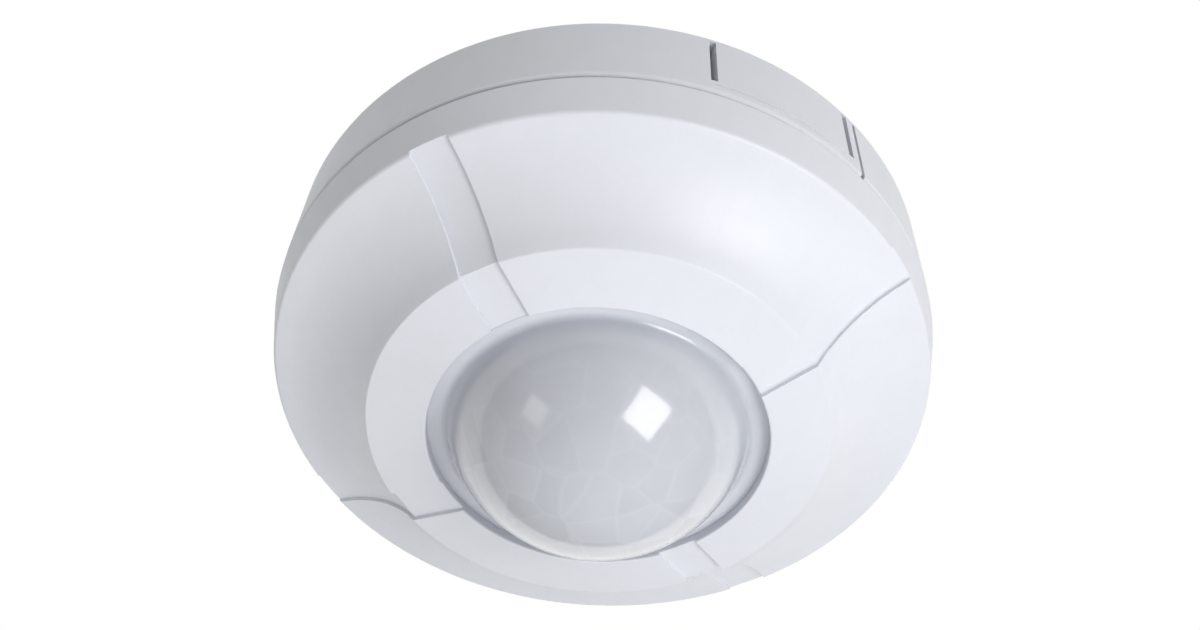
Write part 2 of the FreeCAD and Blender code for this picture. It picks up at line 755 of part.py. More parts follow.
# ---------------------------------------------------------------- circuit board
def make_board():
    """The round circuit board with its screw holes, access holes and wire notch, and screws."""
    plate = rod("board_blank", BOARD_RADIUS, "board_thickness", ("0", "0"), BOARD_BACK)
    through = "3*board_thickness"
    start = f"({BOARD_BACK} - board_thickness)"
    holes = [rod(f"board_hole_{azimuth}", "board_hole_radius", through,
                 on_circle(POST_CIRCLE, azimuth), start)
             for azimuth in BOARD_SCREW_AZIMUTHS]
    holes += [rod(f"access_{azimuth}", "access_hole_radius", through,
                  on_circle("fixing_circle", azimuth), start)
              for azimuth in FIXING_AZIMUTHS]
    notch_middle = f"(wire_notch_depth - 1.5*{BOARD_RADIUS})"
    holes.append(block("wire_notch", ("wire_notch_width", BOARD_RADIUS, through),
                       ("0", notch_middle), start))
    cut("circuit_board", plate, holes)
    shank = "(board_thickness + board_screw_bite)"
    screws = [make_screw(f"board_screw_{azimuth}", on_circle(POST_CIRCLE, azimuth),
                         f"({BOARD_BACK} - board_screw_bite)",
                         ("board_screw_head_radius", "board_screw_head"),
                         ("board_screw_radius", shank))
              for azimuth in BOARD_SCREW_AZIMUTHS]
    group("board_screws", screws)


def make_sensor():
    """The infrared sensor: a metal can with a filter window, on a spacer, with three leads."""
    middle = ("0", "0")
    tube = rod("spacer_blank", "spacer_radius", SPACER_HEIGHT, middle, BOARD_FRONT)
    bore = rod("spacer_hole", "spacer_bore", f"{SPACER_HEIGHT}*2", middle,
               f"{BOARD_FRONT} - {SPACER_HEIGHT}/2")
    cut("sensor_spacer", tube, [bore])
    flange = rod("can_rim", "can_flange_radius", "can_flange", middle, SENSOR_SEAT)
    can = rod("can_wall", "can_radius", "can_height", middle, SENSOR_SEAT)
    window_depth = f"({SENSOR_SEAT} + can_height - window_thickness)"
    size = ("window_length", "window_width", "window_thickness")
    pocket = block("window_seat", size, middle, window_depth)
    cut("sensor_can", join("can_blank", [flange, can]), [pocket])
    block("sensor_window", size, middle, window_depth)
    leads = [rod(f"lead_{azimuth}", "lead_radius", SPACER_HEIGHT,
                 on_circle("lead_circle", azimuth), BOARD_FRONT)
             for azimuth in LEAD_AZIMUTHS]
    group("sensor_leads", leads)


def make_domed_part(label, prefix):
    """A small lamp-like part: a foot, a barrel and a hemispherical end."""
    middle = (f"{prefix}_x", f"{prefix}_y")
    foot = rod(f"{label}_foot", f"{prefix}_foot_radius", f"{prefix}_foot", middle, BOARD_FRONT)
    barrel = rod(f"{label}_barrel", f"{prefix}_radius", f"{prefix}_height - {prefix}_radius",
                 middle, BOARD_FRONT)
    end = doc.addObject("Part::Sphere", f"{label}_end")
    bind(end, "Radius", f"{prefix}_radius")
    end.Angle1 = -90
    end.Angle2 = 0
    place(end, *middle, f"-({BOARD_FRONT}) - {prefix}_height + {prefix}_radius")
    join(label, [foot, barrel, end])


# ---------------------------------------------------------------- terminal block
def make_terminals():
    """The terminal block: a housing with wells and wire mouths, cage clamps and screws."""
    front = f"({BOARD_FRONT} + {TERMINAL_HEIGHT})"
    floor = f"({BOARD_FRONT} + terminal_floor)"
    length = f"({TERMINALS}*terminal_pitch + 2*terminal_end)"
    middle_y = TERMINAL_Y
    solid = block("terminal_blank", (length, TERMINAL_DEPTH, TERMINAL_HEIGHT),
                  ("0", middle_y), BOARD_FRONT)
    cavities = []
    clamps = []
    screws = []
    cavity = ("clamp_width", "clamp_length + clamp_wall", "clamp_height")
    cavity_y = f"({middle_y} - {TERMINAL_DEPTH}/2 + (clamp_length + clamp_wall)/2)"
    clamp_y = f"({middle_y} - {TERMINAL_DEPTH}/2 + clamp_wall + clamp_length/2)"
    well_depth = f"({floor} + clamp_height)"
    for place_number in range(TERMINALS):
        x = f"({place_number - (TERMINALS - 1) / 2}*terminal_pitch)"
        cavities.append(block(f"wire_mouth_{place_number}", cavity, (x, cavity_y), floor))
        cavities.append(rod(f"screw_well_{place_number}", "terminal_well_radius",
                            f"{front} - {floor}", (x, clamp_y), well_depth))
        clamps.append(make_clamp(place_number, x, clamp_y, floor))
        screws.append(make_terminal_screw(place_number, x, clamp_y, well_depth, front))
    cut("terminal_housing", solid, cavities)
    group("terminal_clamps", clamps)
    group("terminal_screws", screws)


def make_clamp(place_number, x, y, floor):
    """A square cage with a wire tunnel, threaded on its front side."""
    cage = block(f"clamp_cage_{place_number}", ("clamp_width", "clamp_length", "clamp_height"),
                 (x, y), floor)
    tunnel = block(f"clamp_tunnel_{place_number}",
                   ("clamp_width - 2*clamp_wall", "2*clamp_length", "clamp_height - 3*clamp_wall"),
                   (x, y), f"{floor} + clamp_wall")
    thread = rod(f"clamp_thread_{place_number}", "terminal_screw_radius", "clamp_height",
                 (x, y), f"{floor} + clamp_wall + clamp_height/2")
    return cut(f"clamp_{place_number}", cage, [tunnel, thread])


def make_terminal_screw(place_number, x, y, well_depth, front):
    """A slotted screw, sunk in its well, with its point in the clamp's thread."""
    head_depth = f"({front} - terminal_screw_sink - terminal_head)"
    point_depth = f"({well_depth} - 2*clamp_wall)"
    solid = join(f"terminal_screw_blank_{place_number}", [
        rod(f"terminal_head_{place_number}", "terminal_head_radius", "terminal_head",
            (x, y), head_depth),
        rod(f"terminal_point_{place_number}", "terminal_screw_radius",
            f"{head_depth} - {point_depth}", (x, y), point_depth),
    ])
    slot = block(f"terminal_slot_{place_number}",
                 ("3*terminal_head_radius", "recess_width", "recess_depth"),
                 (x, y), f"{head_depth} + terminal_head - recess_depth")
    return cut(f"terminal_screw_{place_number}", solid, [slot])


# ---------------------------------------------------------------- controls
def make_adjuster(prefix):
    """A trimmer: a square body with a round well, and a slotted rotor that turns in it."""
    middle = (f"{prefix}_x", f"{prefix}_y")
    front = f"({BOARD_FRONT} + {ADJUSTER_HEIGHT})"
    solid = block(f"{prefix}_blank", (ADJUSTER_WIDTH, ADJUSTER_WIDTH, ADJUSTER_HEIGHT),
                  middle, BOARD_FRONT)
    well = rod(f"{prefix}_well", "rotor_radius + rotor_play", "rotor_sunk + rotor_play",
               middle, f"{front} - rotor_sunk - rotor_play")
    cut(f"{prefix}_body", solid, [well])
    knob = rod(f"{prefix}_knob", "rotor_radius", "rotor_sunk + rotor_proud", middle,
               f"{front} - rotor_sunk")
    face = f"({front} + rotor_proud - rotor_slot_depth)"
    slot = block(f"{prefix}_slot", ("rotor_slot_width", "rotor_slot_length", "rotor_slot_depth"),
                 middle, face)
    x, y = middle
    pointer = block(f"{prefix}_pointer",
                    ("rotor_pointer*2", "rotor_radius", "rotor_slot_depth/2"),
                    (x, f"({y} + rotor_radius)"), f"{face} + rotor_slot_depth/2")
    cut(f"{prefix}_rotor", knob, [slot, pointer])


def make_mode_switch():
    """The mode switch: a body with four short tracks and a slider in each."""
    front = f"({BOARD_FRONT} + {MODE_SWITCH_HEIGHT})"
    solid = block("mode_switch_blank",
                  (MODE_SWITCH_LENGTH, MODE_SWITCH_WIDTH, MODE_SWITCH_HEIGHT),
                  ("mode_switch_x", "mode_switch_y"), BOARD_FRONT)
    tracks = []
    for number_along in range(SLIDERS):
        offset = number_along - (SLIDERS - 1) / 2
        x = f"(mode_switch_x + ({offset})*slider_pitch)"
        track = ("slider_width + 2*slider_play",
                 "slider_length + slider_travel + 2*slider_play", "slider_sunk + slider_play")
        tracks.append(block(f"track_{number_along + 1}", track, (x, "mode_switch_y"),
                            f"{front} - slider_sunk - slider_play"))
        block(f"mode_slider_{number_along + 1}",
              ("slider_width", "slider_length", "slider_sunk + slider_proud"),
              (x, "(mode_switch_y - slider_travel/2)"), f"{front} - slider_sunk")
    cut("mode_switch_body", solid, tracks)


def make_tamper_switch():
    """The tamper switch: a small body with a round plunger that the cover's blade presses."""
    front = f"({BOARD_FRONT} + {TAMPER_HEIGHT})"
    middle = on_circle(TAMPER_CIRCLE, "tamper_azimuth")
    solid = radial_block("tamper_blank", (TAMPER_WIDTH, TAMPER_WIDTH, TAMPER_HEIGHT),
                         TAMPER_CIRCLE, "tamper_azimuth", BOARD_FRONT)
    travel_room = "(plunger_sunk + plunger_travel + plunger_play)"
    bore = rod("plunger_bore", "plunger_radius + plunger_play", travel_room, middle,
               f"{front} - {travel_room}")
    cut("tamper_switch_body", solid, [bore])
    rod("tamper_plunger", "plunger_radius", "plunger_sunk + plunger_proud", middle,
        f"{front} - plunger_sunk")


# ---------------------------------------------------------------- other components
def boxed_part(label, chamfer=False):
    """A moulded block on the board, with its edges rounded or chamfered."""
    blank = block(f"{label}_blank", (f"{label}_length", f"{label}_width", f"{label}_height"),
                  (f"{label}_x", f"{label}_y"), BOARD_FRONT)
    size = f"{label}_chamfer" if chamfer else f"{label}_round"
    rounded(label, blank, size, chamfer)


def make_power_parts():
    """The relay, capacitors, varistor, fuse and rectifier."""
    boxed_part("relay")
    boxed_part("film_capacitor")
    boxed_part("rectifier", chamfer=True)
    capacitors = []
    for prefix in ("large_capacitor", "small_capacitor"):
        blank = rod(f"{prefix}_blank", f"{prefix}_radius", f"{prefix}_height",
                    (f"{prefix}_x", f"{prefix}_y"), BOARD_FRONT)
        capacitors.append(rounded_top(prefix, blank, "capacitor_round"))
    group("smoothing_capacitors", capacitors)
    fuse = rod("fuse_blank", "fuse_radius", "fuse_height", ("fuse_x", "fuse_y"), BOARD_FRONT)
    rounded_top("fuse", fuse, "capacitor_round")
    make_varistor()


def make_varistor():
    """A disc that stands on edge above the board on two leads."""
    disc = doc.addObject("Part::Cylinder", "varistor_disc")
    bind(disc, "Radius", "varistor_radius")
    bind(disc, "Height", "varistor_thickness")
    disc.Placement.Rotation = Rotation(Vector(1, 0, 0), 90)
    middle_depth = f"({BOARD_FRONT} + varistor_lift + varistor_radius)"
    place(disc, "varistor_x", "varistor_y + varistor_thickness/2", f"-{middle_depth}")
    leads = [rod(f"varistor_lead_{side}", "varistor_lead_radius",
                 "varistor_lift + varistor_radius",
                 (f"(varistor_x + ({side})*varistor_lead_spacing/2)", "varistor_y"), BOARD_FRONT)
             for side in (-1, 1)]
    join("varistor", [disc] + leads)


def make_controller():
    """The microcontroller and its two rows of gull-wing leads."""
    boxed_part("controller", chamfer=True)
    leads = []
    for side in (-1, 1):
        for number_along in range(CONTROLLER_PINS):
            offset = number_along - (CONTROLLER_PINS - 1) / 2
            x = f"(controller_x + ({offset})*controller_pitch)"
            y = f"(controller_y + ({side})*(controller_width + pin_reach)/2)"
            foot = block(f"pin_foot_{side + 1}_{number_along}",
                         ("pin_width", "pin_reach", "pin_thickness"), (x, y), BOARD_FRONT)
            inner = f"(controller_y + ({side})*(controller_width + pin_thickness)/2)"
            leg = block(f"pin_leg_{side + 1}_{number_along}",
                        ("pin_width", "pin_thickness", "controller_height/2"),
                        (x, inner), BOARD_FRONT)
            leads.append(join(f"pin_{side + 1}_{number_along}", [foot, leg]))
    group("controller_leads", leads)


def make_chips():
    """A row and a column of small chip components."""
    size = ("chip_width", "chip_length", "chip_height")
    chips = [block(f"chip_row_{step}", size,
                   (f"(chip_row_x + {step}*chip_pitch)", "chip_row_y"), BOARD_FRONT)
             for step in range(CHIPS_IN_ROW)]
    turned = ("chip_length", "chip_width", "chip_height")
    chips += [block(f"chip_column_{step}", turned,
                    ("chip_column_x", f"(chip_column_y + {step}*chip_pitch)"), BOARD_FRONT)
              for step in range(CHIPS_IN_COLUMN)]
    group("chip_components", chips)


# ---------------------------------------------------------------- the whole sensor
SUB_PARTS = [
    "base", "cable_grommet", "front_cover", "fresnel_lens", "lens_retainer", "retainer_screws",
    "circuit_board", "board_screws", "sensor_spacer", "sensor_can", "sensor_window",
    "sensor_leads", "status_lamp", "light_sensor", "terminal_housing", "terminal_clamps",
    "terminal_screws", "time_adjuster_body", "time_adjuster_rotor", "light_adjuster_body",
    "light_adjuster_rotor", "mode_switch_body", "tamper_switch_body", "tamper_plunger",
    "relay", "film_capacitor", "smoothing_capacitors", "varistor", "fuse", "rectifier",
    "controller", "controller_leads", "chip_components",
]
SUB_PARTS += [f"mode_slider_{number_along + 1}" for number_along in range(SLIDERS)]


def build():
    """Make every sub-part."""
    make_base()
    make_grommet()
    make_cover()
    make_lens()
    make_ring()
    make_board()
    make_sensor()
    make_domed_part("status_lamp", "lamp")
    make_domed_part("light_sensor", "photocell")
    make_terminals()
    make_adjuster("time_adjuster")
    make_adjuster("light_adjuster")
    make_mode_switch()
    make_tamper_switch()
    make_power_parts()
    make_controller()
    make_chips()
    doc.recompute()


def check_and_export():
    """Refuse a document with a failed object or a bad shape, then write each sub-part."""
    failed = [item.Name for item in doc.Objects
              if "Invalid" in item.State or "Error" in item.State]
    if failed:
        raise RuntimeError(f"failed objects: {failed}")
    parts = []
    for label in SUB_PARTS:
        item = doc.getObject(label)
        item.Label = label
        if item.Shape.isNull() or not item.Shape.isValid() or not item.Shape.Solids:
            raise RuntimeError(f"{label} has no valid solid")
        parts.append(item)
    os.makedirs("parts", exist_ok=True)
    for item in parts:
        item.Shape.exportStep(f"parts/{item.Label}.step")
        print(f"{item.Label}: {len(item.Shape.Solids)} solid(s), {item.Shape.Volume:.1f} mm3")


build()
check_and_export()
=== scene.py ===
"""A round ceiling motion sensor, modelled and dressed around its fixed CAD frame.

Pieces are modelled in millimetres, with the ceiling at z = 0 and the lens pointing down, and
are brought to metres when they are finished. A depth is a distance below the ceiling.
"""
import logging
import math
from contextlib import contextmanager
from dataclasses import dataclass, field
from enum import Enum
from typing import Any, Callable, Iterator

import bmesh
import bpy
from mathutils import Matrix, Vector


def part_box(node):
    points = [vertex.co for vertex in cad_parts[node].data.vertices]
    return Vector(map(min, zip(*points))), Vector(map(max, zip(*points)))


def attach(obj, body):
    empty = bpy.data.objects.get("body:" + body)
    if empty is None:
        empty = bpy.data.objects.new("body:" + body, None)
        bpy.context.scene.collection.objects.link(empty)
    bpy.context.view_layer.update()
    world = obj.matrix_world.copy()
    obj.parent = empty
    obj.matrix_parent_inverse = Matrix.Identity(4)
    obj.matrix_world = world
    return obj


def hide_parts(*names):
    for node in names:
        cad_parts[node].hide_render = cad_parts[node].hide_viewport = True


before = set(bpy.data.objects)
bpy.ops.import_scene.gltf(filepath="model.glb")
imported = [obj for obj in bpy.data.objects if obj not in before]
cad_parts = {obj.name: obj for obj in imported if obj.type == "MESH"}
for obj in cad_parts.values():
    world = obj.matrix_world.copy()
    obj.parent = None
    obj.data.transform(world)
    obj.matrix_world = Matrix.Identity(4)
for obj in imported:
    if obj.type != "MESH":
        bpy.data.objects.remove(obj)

log = logging.getLogger("motion_sensor")

Point = tuple[float, float]
Triple = tuple[float, float, float]
FaceTest = Callable[[Vector, Vector], bool]

MILLIMETRE = 0.001
BOARD_FRONT = 15.6
MERGE_DISTANCE = 0.0005
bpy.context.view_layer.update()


class Body(Enum):
    """The CAD bodies that pieces ride on."""

    BASE = "base_assembly"
    COVER = "cover_assembly"
    PLUNGER = "tamper_plunger"
    TIME_ROTOR = "time_rotor"
    LIGHT_ROTOR = "light_rotor"
    SLIDER_1 = "mode_slider_1"
    SLIDER_2 = "mode_slider_2"
    SLIDER_3 = "mode_slider_3"
    SLIDER_4 = "mode_slider_4"


class Slot(Enum):
    """The material slots of the record."""

    HOUSING = "housing"
    LENS = "lens"
    RING = "ring"
    STEEL = "steel"
    GROMMET = "grommet"
    BOARD = "board"
    SPACER = "spacer"
    CAN = "can"
    FILTER = "filter"
    TIN = "tin"
    LAMP = "lamp"
    PHOTOCELL = "photocell"
    TERMINAL = "terminal"
    CLAMP = "clamp"
    ADJUSTER = "adjuster"
    ROTOR = "rotor"
    SWITCH = "switch"
    SWITCH_BLACK = "switch_black"
    PLUNGER = "plunger"
    RELAY = "relay"
    FILM = "film"
    SLEEVE = "sleeve"
    VARISTOR = "varistor"
    FUSE = "fuse"
    EPOXY = "epoxy"
    CERAMIC = "ceramic"


# ---------------------------------------------------------------- shader graphs
class Signal:
    """A shader socket that can be used in Python expressions."""

    def __init__(self, graph: "Graph", socket: bpy.types.NodeSocket) -> None:
        """Wrap one output socket of a graph."""
        self.graph = graph
        self.socket = socket

    def _math(self, operation: str, first: Any, second: Any) -> "Signal":
        """Add one Math node."""
        return self.graph.add("ShaderNodeMath", {"operation": operation}, {0: first, 1: second})

    def __add__(self, other: Any) -> "Signal":
        """Sum."""
        return self._math("ADD", self, other)

    def __radd__(self, other: Any) -> "Signal":
        """Sum with a number in front."""
        return self._math("ADD", other, self)

    def __sub__(self, other: Any) -> "Signal":
        """Difference."""
        return self._math("SUBTRACT", self, other)

    def __rsub__(self, other: Any) -> "Signal":
        """Difference with a number in front."""
        return self._math("SUBTRACT", other, self)

    def __mul__(self, other: Any) -> "Signal":
        """Product."""
        return self._math("MULTIPLY", self, other)

    def __rmul__(self, other: Any) -> "Signal":
        """Product with a number in front."""
        return self._math("MULTIPLY", other, self)

    def __truediv__(self, other: Any) -> "Signal":
        """Quotient."""
        return self._math("DIVIDE", self, other)

    def __pow__(self, other: Any) -> "Signal":
        """Power."""
        return self._math("POWER", self, other)

    def above(self, limit: Any) -> "Signal":
        """1 where the signal is greater than the limit, otherwise 0."""
        return self._math("GREATER_THAN", self, limit)

    def below(self, limit: Any) -> "Signal":
        """1 where the signal is less than the limit, otherwise 0."""
        return self._math("LESS_THAN", self, limit)

    def part(self) -> "Signal":
        """What is left above the whole number."""
        return self._math("FRACT", self, 0.0)

    def most(self, other: Any) -> "Signal":
        """The greater of two."""
        return self._math("MAXIMUM", self, other)

    def sine(self) -> "Signal":
        """The sine of the signal in radians."""
        return self._math("SINE", self, 0.0)

    def ramp(self, low: float, high: float) -> "Signal":
        """A smooth step from 0 at low to 1 at high."""
        return self.graph.add("ShaderNodeMapRange", {"interpolation_type": "SMOOTHSTEP"},
                              {"Value": self, "From Min": low, "From Max": high})


class Graph:
    """The node tree of one material."""

    def __init__(self, tree: bpy.types.NodeTree) -> None:
        """Start an empty tree."""
        self.tree = tree
        self.tree.nodes.clear()

    def add(self, kind: str, settings: dict[str, Any], sockets: dict[Any, Any],
            output: Any = 0) -> Signal:
        """Add a node.

        Args:
            kind: Blender's name of the node's type.
            settings: the node's properties.
            sockets: a value or a Signal for each named or numbered input.
            output: the name or number of the output to return.

        Returns:
            The chosen output.
        """
        node = self.tree.nodes.new(kind)
        for name, value in settings.items():
            setattr(node, name, value)
        for name, value in sockets.items():
            if isinstance(value, Signal):
                self.tree.links.new(value.socket, node.inputs[name])
            else:
                node.inputs[name].default_value = value
        return Signal(self, node.outputs[output])

    def place(self, centre: Triple = (0.0, 0.0, 0.0)) -> Signal:
        """The point on the piece, in millimetres from a centre.

        Args:
            centre: the point that becomes zero.

        Returns:
            The point.
        """
        where = self.add("ShaderNodeTexCoord", {}, {}, "Object")
        scaled = self.add("ShaderNodeVectorMath", {"operation": "SCALE"},
                          {0: where, "Scale": 1.0 / MILLIMETRE})
        return self.add("ShaderNodeVectorMath", {"operation": "SUBTRACT"},
                        {0: scaled, 1: centre})

    def axes(self, point: Signal) -> tuple[Signal, Signal, Signal]:
        """The three coordinates of a point.

        Args:
            point: the point.

        Returns:
            Its x, y and z.
        """
        first = self.add("ShaderNodeSeparateXYZ", {}, {0: point}, "X")
        outputs = first.socket.node.outputs
        return first, Signal(self, outputs["Y"]), Signal(self, outputs["Z"])

    def stretched(self, point: Signal, factors: Triple) -> Signal:
        """A point with each coordinate multiplied."""
        return self.add("ShaderNodeVectorMath", {"operation": "MULTIPLY"},
                        {0: point, 1: factors})

    def noise(self, point: Signal, scale: float, detail: float = 2.0) -> Signal:
        """Soft noise between about 0.3 and 0.7."""
        return self.add("ShaderNodeTexNoise", {},
                        {"Vector": point, "Scale": scale, "Detail": detail})

    def cells(self, point: Signal, scale: float, feature: str = "F1",
              metric: str = "EUCLIDEAN", output: str = "Distance") -> Signal:
        """Distance or tone in a pattern of cells.

        Args:
            point: where the pattern is read.
            scale: cells in a millimetre.
            feature: which distance, in Blender's words.
            metric: how distance is measured, in Blender's words.
            output: the output to return.

        Returns:
            The chosen output.
        """
        settings = {"feature": feature, "distance": metric}
        return self.add("ShaderNodeTexVoronoi", settings, {"Vector": point, "Scale": scale},
                        output)

    def blend(self, amount: Any, first: Any, second: Any) -> Signal:
        """Mix two colours.

        Args:
            amount: 0 for all of the first, 1 for all of the second.
            first: a colour or a Signal of one.
            second: a colour or a Signal of one.

        Returns:
            The mixed colour.
        """
        sockets = {0: amount, 6: opaque(first), 7: opaque(second)}
        return self.add("ShaderNodeMix", {"data_type": "RGBA"}, sockets, 2)

    def surface(self, colour: Any, roughness: Any, height: Any = None,
                metallic: Any = 0.0, **constants: Any) -> None:
        """Finish the material with a Principled shader.

        Args:
            colour: the base colour.
            roughness: the roughness.
            height: the relief in millimetres, or None for a smooth surface.
            metallic: how metallic it is.
            constants: other sockets, with spaces written as underscores.
        """
        sockets = {"Base Color": opaque(colour), "Roughness": roughness, "Metallic": metallic}
        sockets.update({name.replace("_", " "): value for name, value in constants.items()})
        if height is not None:
            sockets["Normal"] = self.add("ShaderNodeBump", {}, {
                "Height": height, "Strength": 1.0, "Distance": MILLIMETRE}, "Normal")
        shader = self.add("ShaderNodeBsdfPrincipled", {}, sockets)
        self.add_output("ShaderNodeOutputMaterial", shader)

    def add_output(self, kind: str, shader: Signal) -> None:
        """Link a shader to the output node."""
        node = self.tree.nodes.new(kind)
        self.tree.links.new(shader.socket, node.inputs["Surface"])


def opaque(colour: Any) -> Any:
    """A colour with full alpha; a Signal is passed on as it is."""
    return colour if isinstance(colour, Signal) else (*colour[:3], 1.0)


def shade(colour: Triple, factor: float) -> Triple:
    """A colour made darker or lighter by a factor, up to white."""
    red, green, blue = (min(1.0, part * factor) for part in colour)
    return red, green, blue


# ---------------------------------------------------------------- finishes
@dataclass(frozen=True)
class Finish:
    """What a surface is made of."""

    name: str

    def paint(self, graph: Graph) -> None:
        """Build the shader; each kind of finish has its own."""
        raise NotImplementedError

    def material(self) -> bpy.types.Material:
        """The finish's material, made once.

        Returns:
            The material.
        """
        made = bpy.data.materials.get(self.name)
        if made is None:
            made = bpy.data.materials.new(self.name)
            made.use_nodes = True
            self.paint(Graph(made.node_tree))
        return made


@dataclass(frozen=True)
class MouldedPlastic(Finish):
    """Injection-moulded plastic with a fine spark-eroded grain."""

    colour: Triple
    roughness: float = 0.42
    grain: float = 1.8
    relief: float = 0.003
    mottle: float = 0.05
    gloss_coat: float = 0.0

    def paint(self, graph: Graph) -> None:
        """Build the shader.

        Args:
            graph: the material's node tree.
        """
        point = graph.place()
        cloud = graph.noise(point, 0.07, 3.0)
        fine = graph.noise(point, self.grain, 2.0)
        dimple = graph.cells(point, self.grain * 0.8)
        amount = (cloud - 0.5) * 1.6 + (fine - 0.5) * 0.6 + 0.5
        colour = graph.blend(amount, shade(self.colour, 1.0 - self.mottle), self.colour)
        rough = self.roughness + (fine - 0.5) * 0.12 + (cloud - 0.5) * 0.16
        height = (fine * 0.6 + dimple * 0.4) * self.relief + cloud * self.relief * 2.0
        graph.surface(colour, rough, height, IOR=1.5, Coat_Weight=self.gloss_coat,
                      Coat_Roughness=0.12)


@dataclass(frozen=True)
class HousingPlastic(Finish):
    """White satin plastic with a fine grain, with painted shade towards the ceiling, in the
    parting gap between cover and base and in its lens opening.

    The gap's and the opening's places are heights and radii between which the painted shade fades.
    """

    colour: Triple
    roughness: float = 0.40
    grain: float = 1.5
    relief: float = 0.0022
    gap_shade_front: Point = (-17.14, -17.0)
    gap_shade_back: Point = (-16.36, -16.2)
    gap_shade_reach: Point = (51.9, 52.3)
    opening_shade_reach: Point = (26.56, 26.8)
    opening_shade_back: float = -36.0

    def paint(self, graph: Graph) -> None:
        """Build the shader.

        Args:
            graph: the material's node tree.
        """
        point = graph.place()
        x, y, z = graph.axes(point)
        reach = (x * x + y * y) ** 0.5
        cloud = graph.noise(point, 0.045, 4.0)
        patch = graph.noise(graph.stretched(point, (1.0, 1.0, 0.4)), 0.35, 3.0)
        fine = graph.noise(point, self.grain, 2.0)
        pits = graph.cells(point, self.grain * 1.3)
        dust = graph.noise(point, 6.0, 1.0).above(0.78) * 0.5
        # painted shade: a little darker towards the ceiling
        painted_ceiling_shade = graph.blend((z + 20.0).ramp(0.0, 20.0) * 0.5, self.colour,
                          shade(self.colour, 0.965))
        amount = (cloud - 0.5) * 0.9 + (patch - 0.5) * 0.5 + (fine - 0.5) * 0.35 + 0.25
        mottled = graph.blend(amount, painted_ceiling_shade, shade(self.colour, 0.93))
        dusty = graph.blend(dust, mottled, shade(self.colour, 0.86))
        # painted shade in the parting gap between cover and base, on its outermost rim only
        painted_gap_shade = z.ramp(*self.gap_shade_front) - z.ramp(*self.gap_shade_back)
        painted_gap_shade = painted_gap_shade * reach.ramp(*self.gap_shade_reach)
        # painted shade on the inner wall of the lens opening
        opening = (1.0 - reach.ramp(*self.opening_shade_reach)) * z.below(self.opening_shade_back)
        shaded = graph.blend(opening * 0.8, dusty, shade(self.colour, 0.68))
        colour = graph.blend(painted_gap_shade * 0.8, shaded, shade(self.colour, 0.25))
        rough = self.roughness + (fine - 0.5) * 0.10 + (patch - 0.5) * 0.14
        height = (fine * 0.7 + pits * 0.3) * self.relief + cloud * self.relief * 6.0
        graph.surface(colour, rough, height, IOR=1.49, Subsurface_Weight=0.08,
                      Subsurface_Radius=(1.0, 1.0, 1.0), Subsurface_Scale=0.0012)


@dataclass(frozen=True)
class FacetedLens(Finish):
    """Milky lens plastic: gloss outside, with facets seen faintly through it, shown more on one
    side by painted light.

    The facets end and the flange's painted light starts at radii between which one fades into the
    other.
    """

    colour: Triple
    centre: Triple
    facet: float = 0.15
    roughness: float = 0.13
    facet_reach: Point = (20.5, 22.5)
    flange_light_reach: Point = (23.2, 24.8)
    lit_side: Point = (-14.0, 12.0)

    def paint(self, graph: Graph) -> None:
        """Build the shader.

        Args:
            graph: the material's node tree.
        """
        point = graph.place(self.centre)
        x, y, _z = graph.axes(point)
        reach = (x * x + y * y) ** 0.5
        drift = graph.noise(point, 0.11, 1.0) - 0.5
        edge = graph.cells(point, self.facet, "DISTANCE_TO_EDGE")
        near = graph.cells(point, self.facet)
        tone = graph.cells(point, self.facet, output="Color")
        seam = 1.0 - edge.ramp(0.0, 0.07)
        # painted light: the facets and their light seams show more on the lit side
        lower = (y * 0.8 - x * 0.6).ramp(*self.lit_side) * 0.8 + 0.2
        inner = 1.0 - reach.ramp(*self.facet_reach)
        grooves = (near * 60.0).sine()
        cloud = graph.noise(point, 0.12, 3.0)
        amount = tone * lower * inner * 1.1 + (cloud - 0.5) * 0.5 + drift * 0.3 + 0.15
        body = graph.blend(amount, shade(self.colour, 0.84), shade(self.colour, 1.02))
        seamed = graph.blend(seam * lower * inner * 0.32, body, shade(self.colour, 1.10))
        # painted light: the flange is painted lighter than the dome
        flange = reach.ramp(*self.flange_light_reach)
        colour = graph.blend(flange, seamed, shade(self.colour, 1.16))
        rough = self.roughness + tone * 0.05 + seam * 0.05 + (cloud - 0.5) * 0.06
        height = cloud * 0.030 + tone * 0.004 + near * 0.010 + grooves * 0.0004
        graph.surface(colour, rough, height, IOR=1.42, Subsurface_Weight=0.4,
                      Subsurface_Radius=(1.0, 1.0, 1.0), Subsurface_Scale=0.005,
                      Coat_Weight=0.8, Coat_Roughness=0.08)


@dataclass(frozen=True)
class WorkedMetal(Finish):
    """Metal with fine lines along one axis and a cloudy plated tone."""

    colour: Triple
    roughness: float = 0.30
    lines: Triple = (6.0, 6.0, 0.4)
    relief: float = 0.002

    def paint(self, graph: Graph) -> None:
        """Build the shader.

        Args:
            graph: the material's node tree.
        """
        point = graph.place()
        cloud = graph.noise(point, 0.5, 3.0)
        line = graph.noise(graph.stretched(point, self.lines), 1.6, 2.0)
        amount = (cloud - 0.5) * 1.4 + (line - 0.5) * 0.8 + 0.5
        colour = graph.blend(amount, shade(self.colour, 0.80), self.colour)
        rough = self.roughness + (line - 0.5) * 0.25 + (cloud - 0.5) * 0.15
        graph.surface(colour, rough, line * self.relief, 1.0)


@dataclass(frozen=True)
class SoftRubber(Finish):
    """Matt rubber with a dusty bloom."""

    colour: Triple

    def paint(self, graph: Graph) -> None:
        """Build the shader.

        Args:
            graph: the material's node tree.
        """
        point = graph.place()
        cloud = graph.noise(point, 0.4, 4.0)
        fine = graph.noise(point, 4.0, 2.0)
        amount = (cloud - 0.35) * 1.5 + (fine - 0.5) * 0.7
        colour = graph.blend(amount, self.colour, shade(self.colour, 1.9))
        rough = 0.72 + (fine - 0.5) * 0.2
        graph.surface(colour, rough, fine * 0.006 + cloud * 0.01, IOR=1.45)


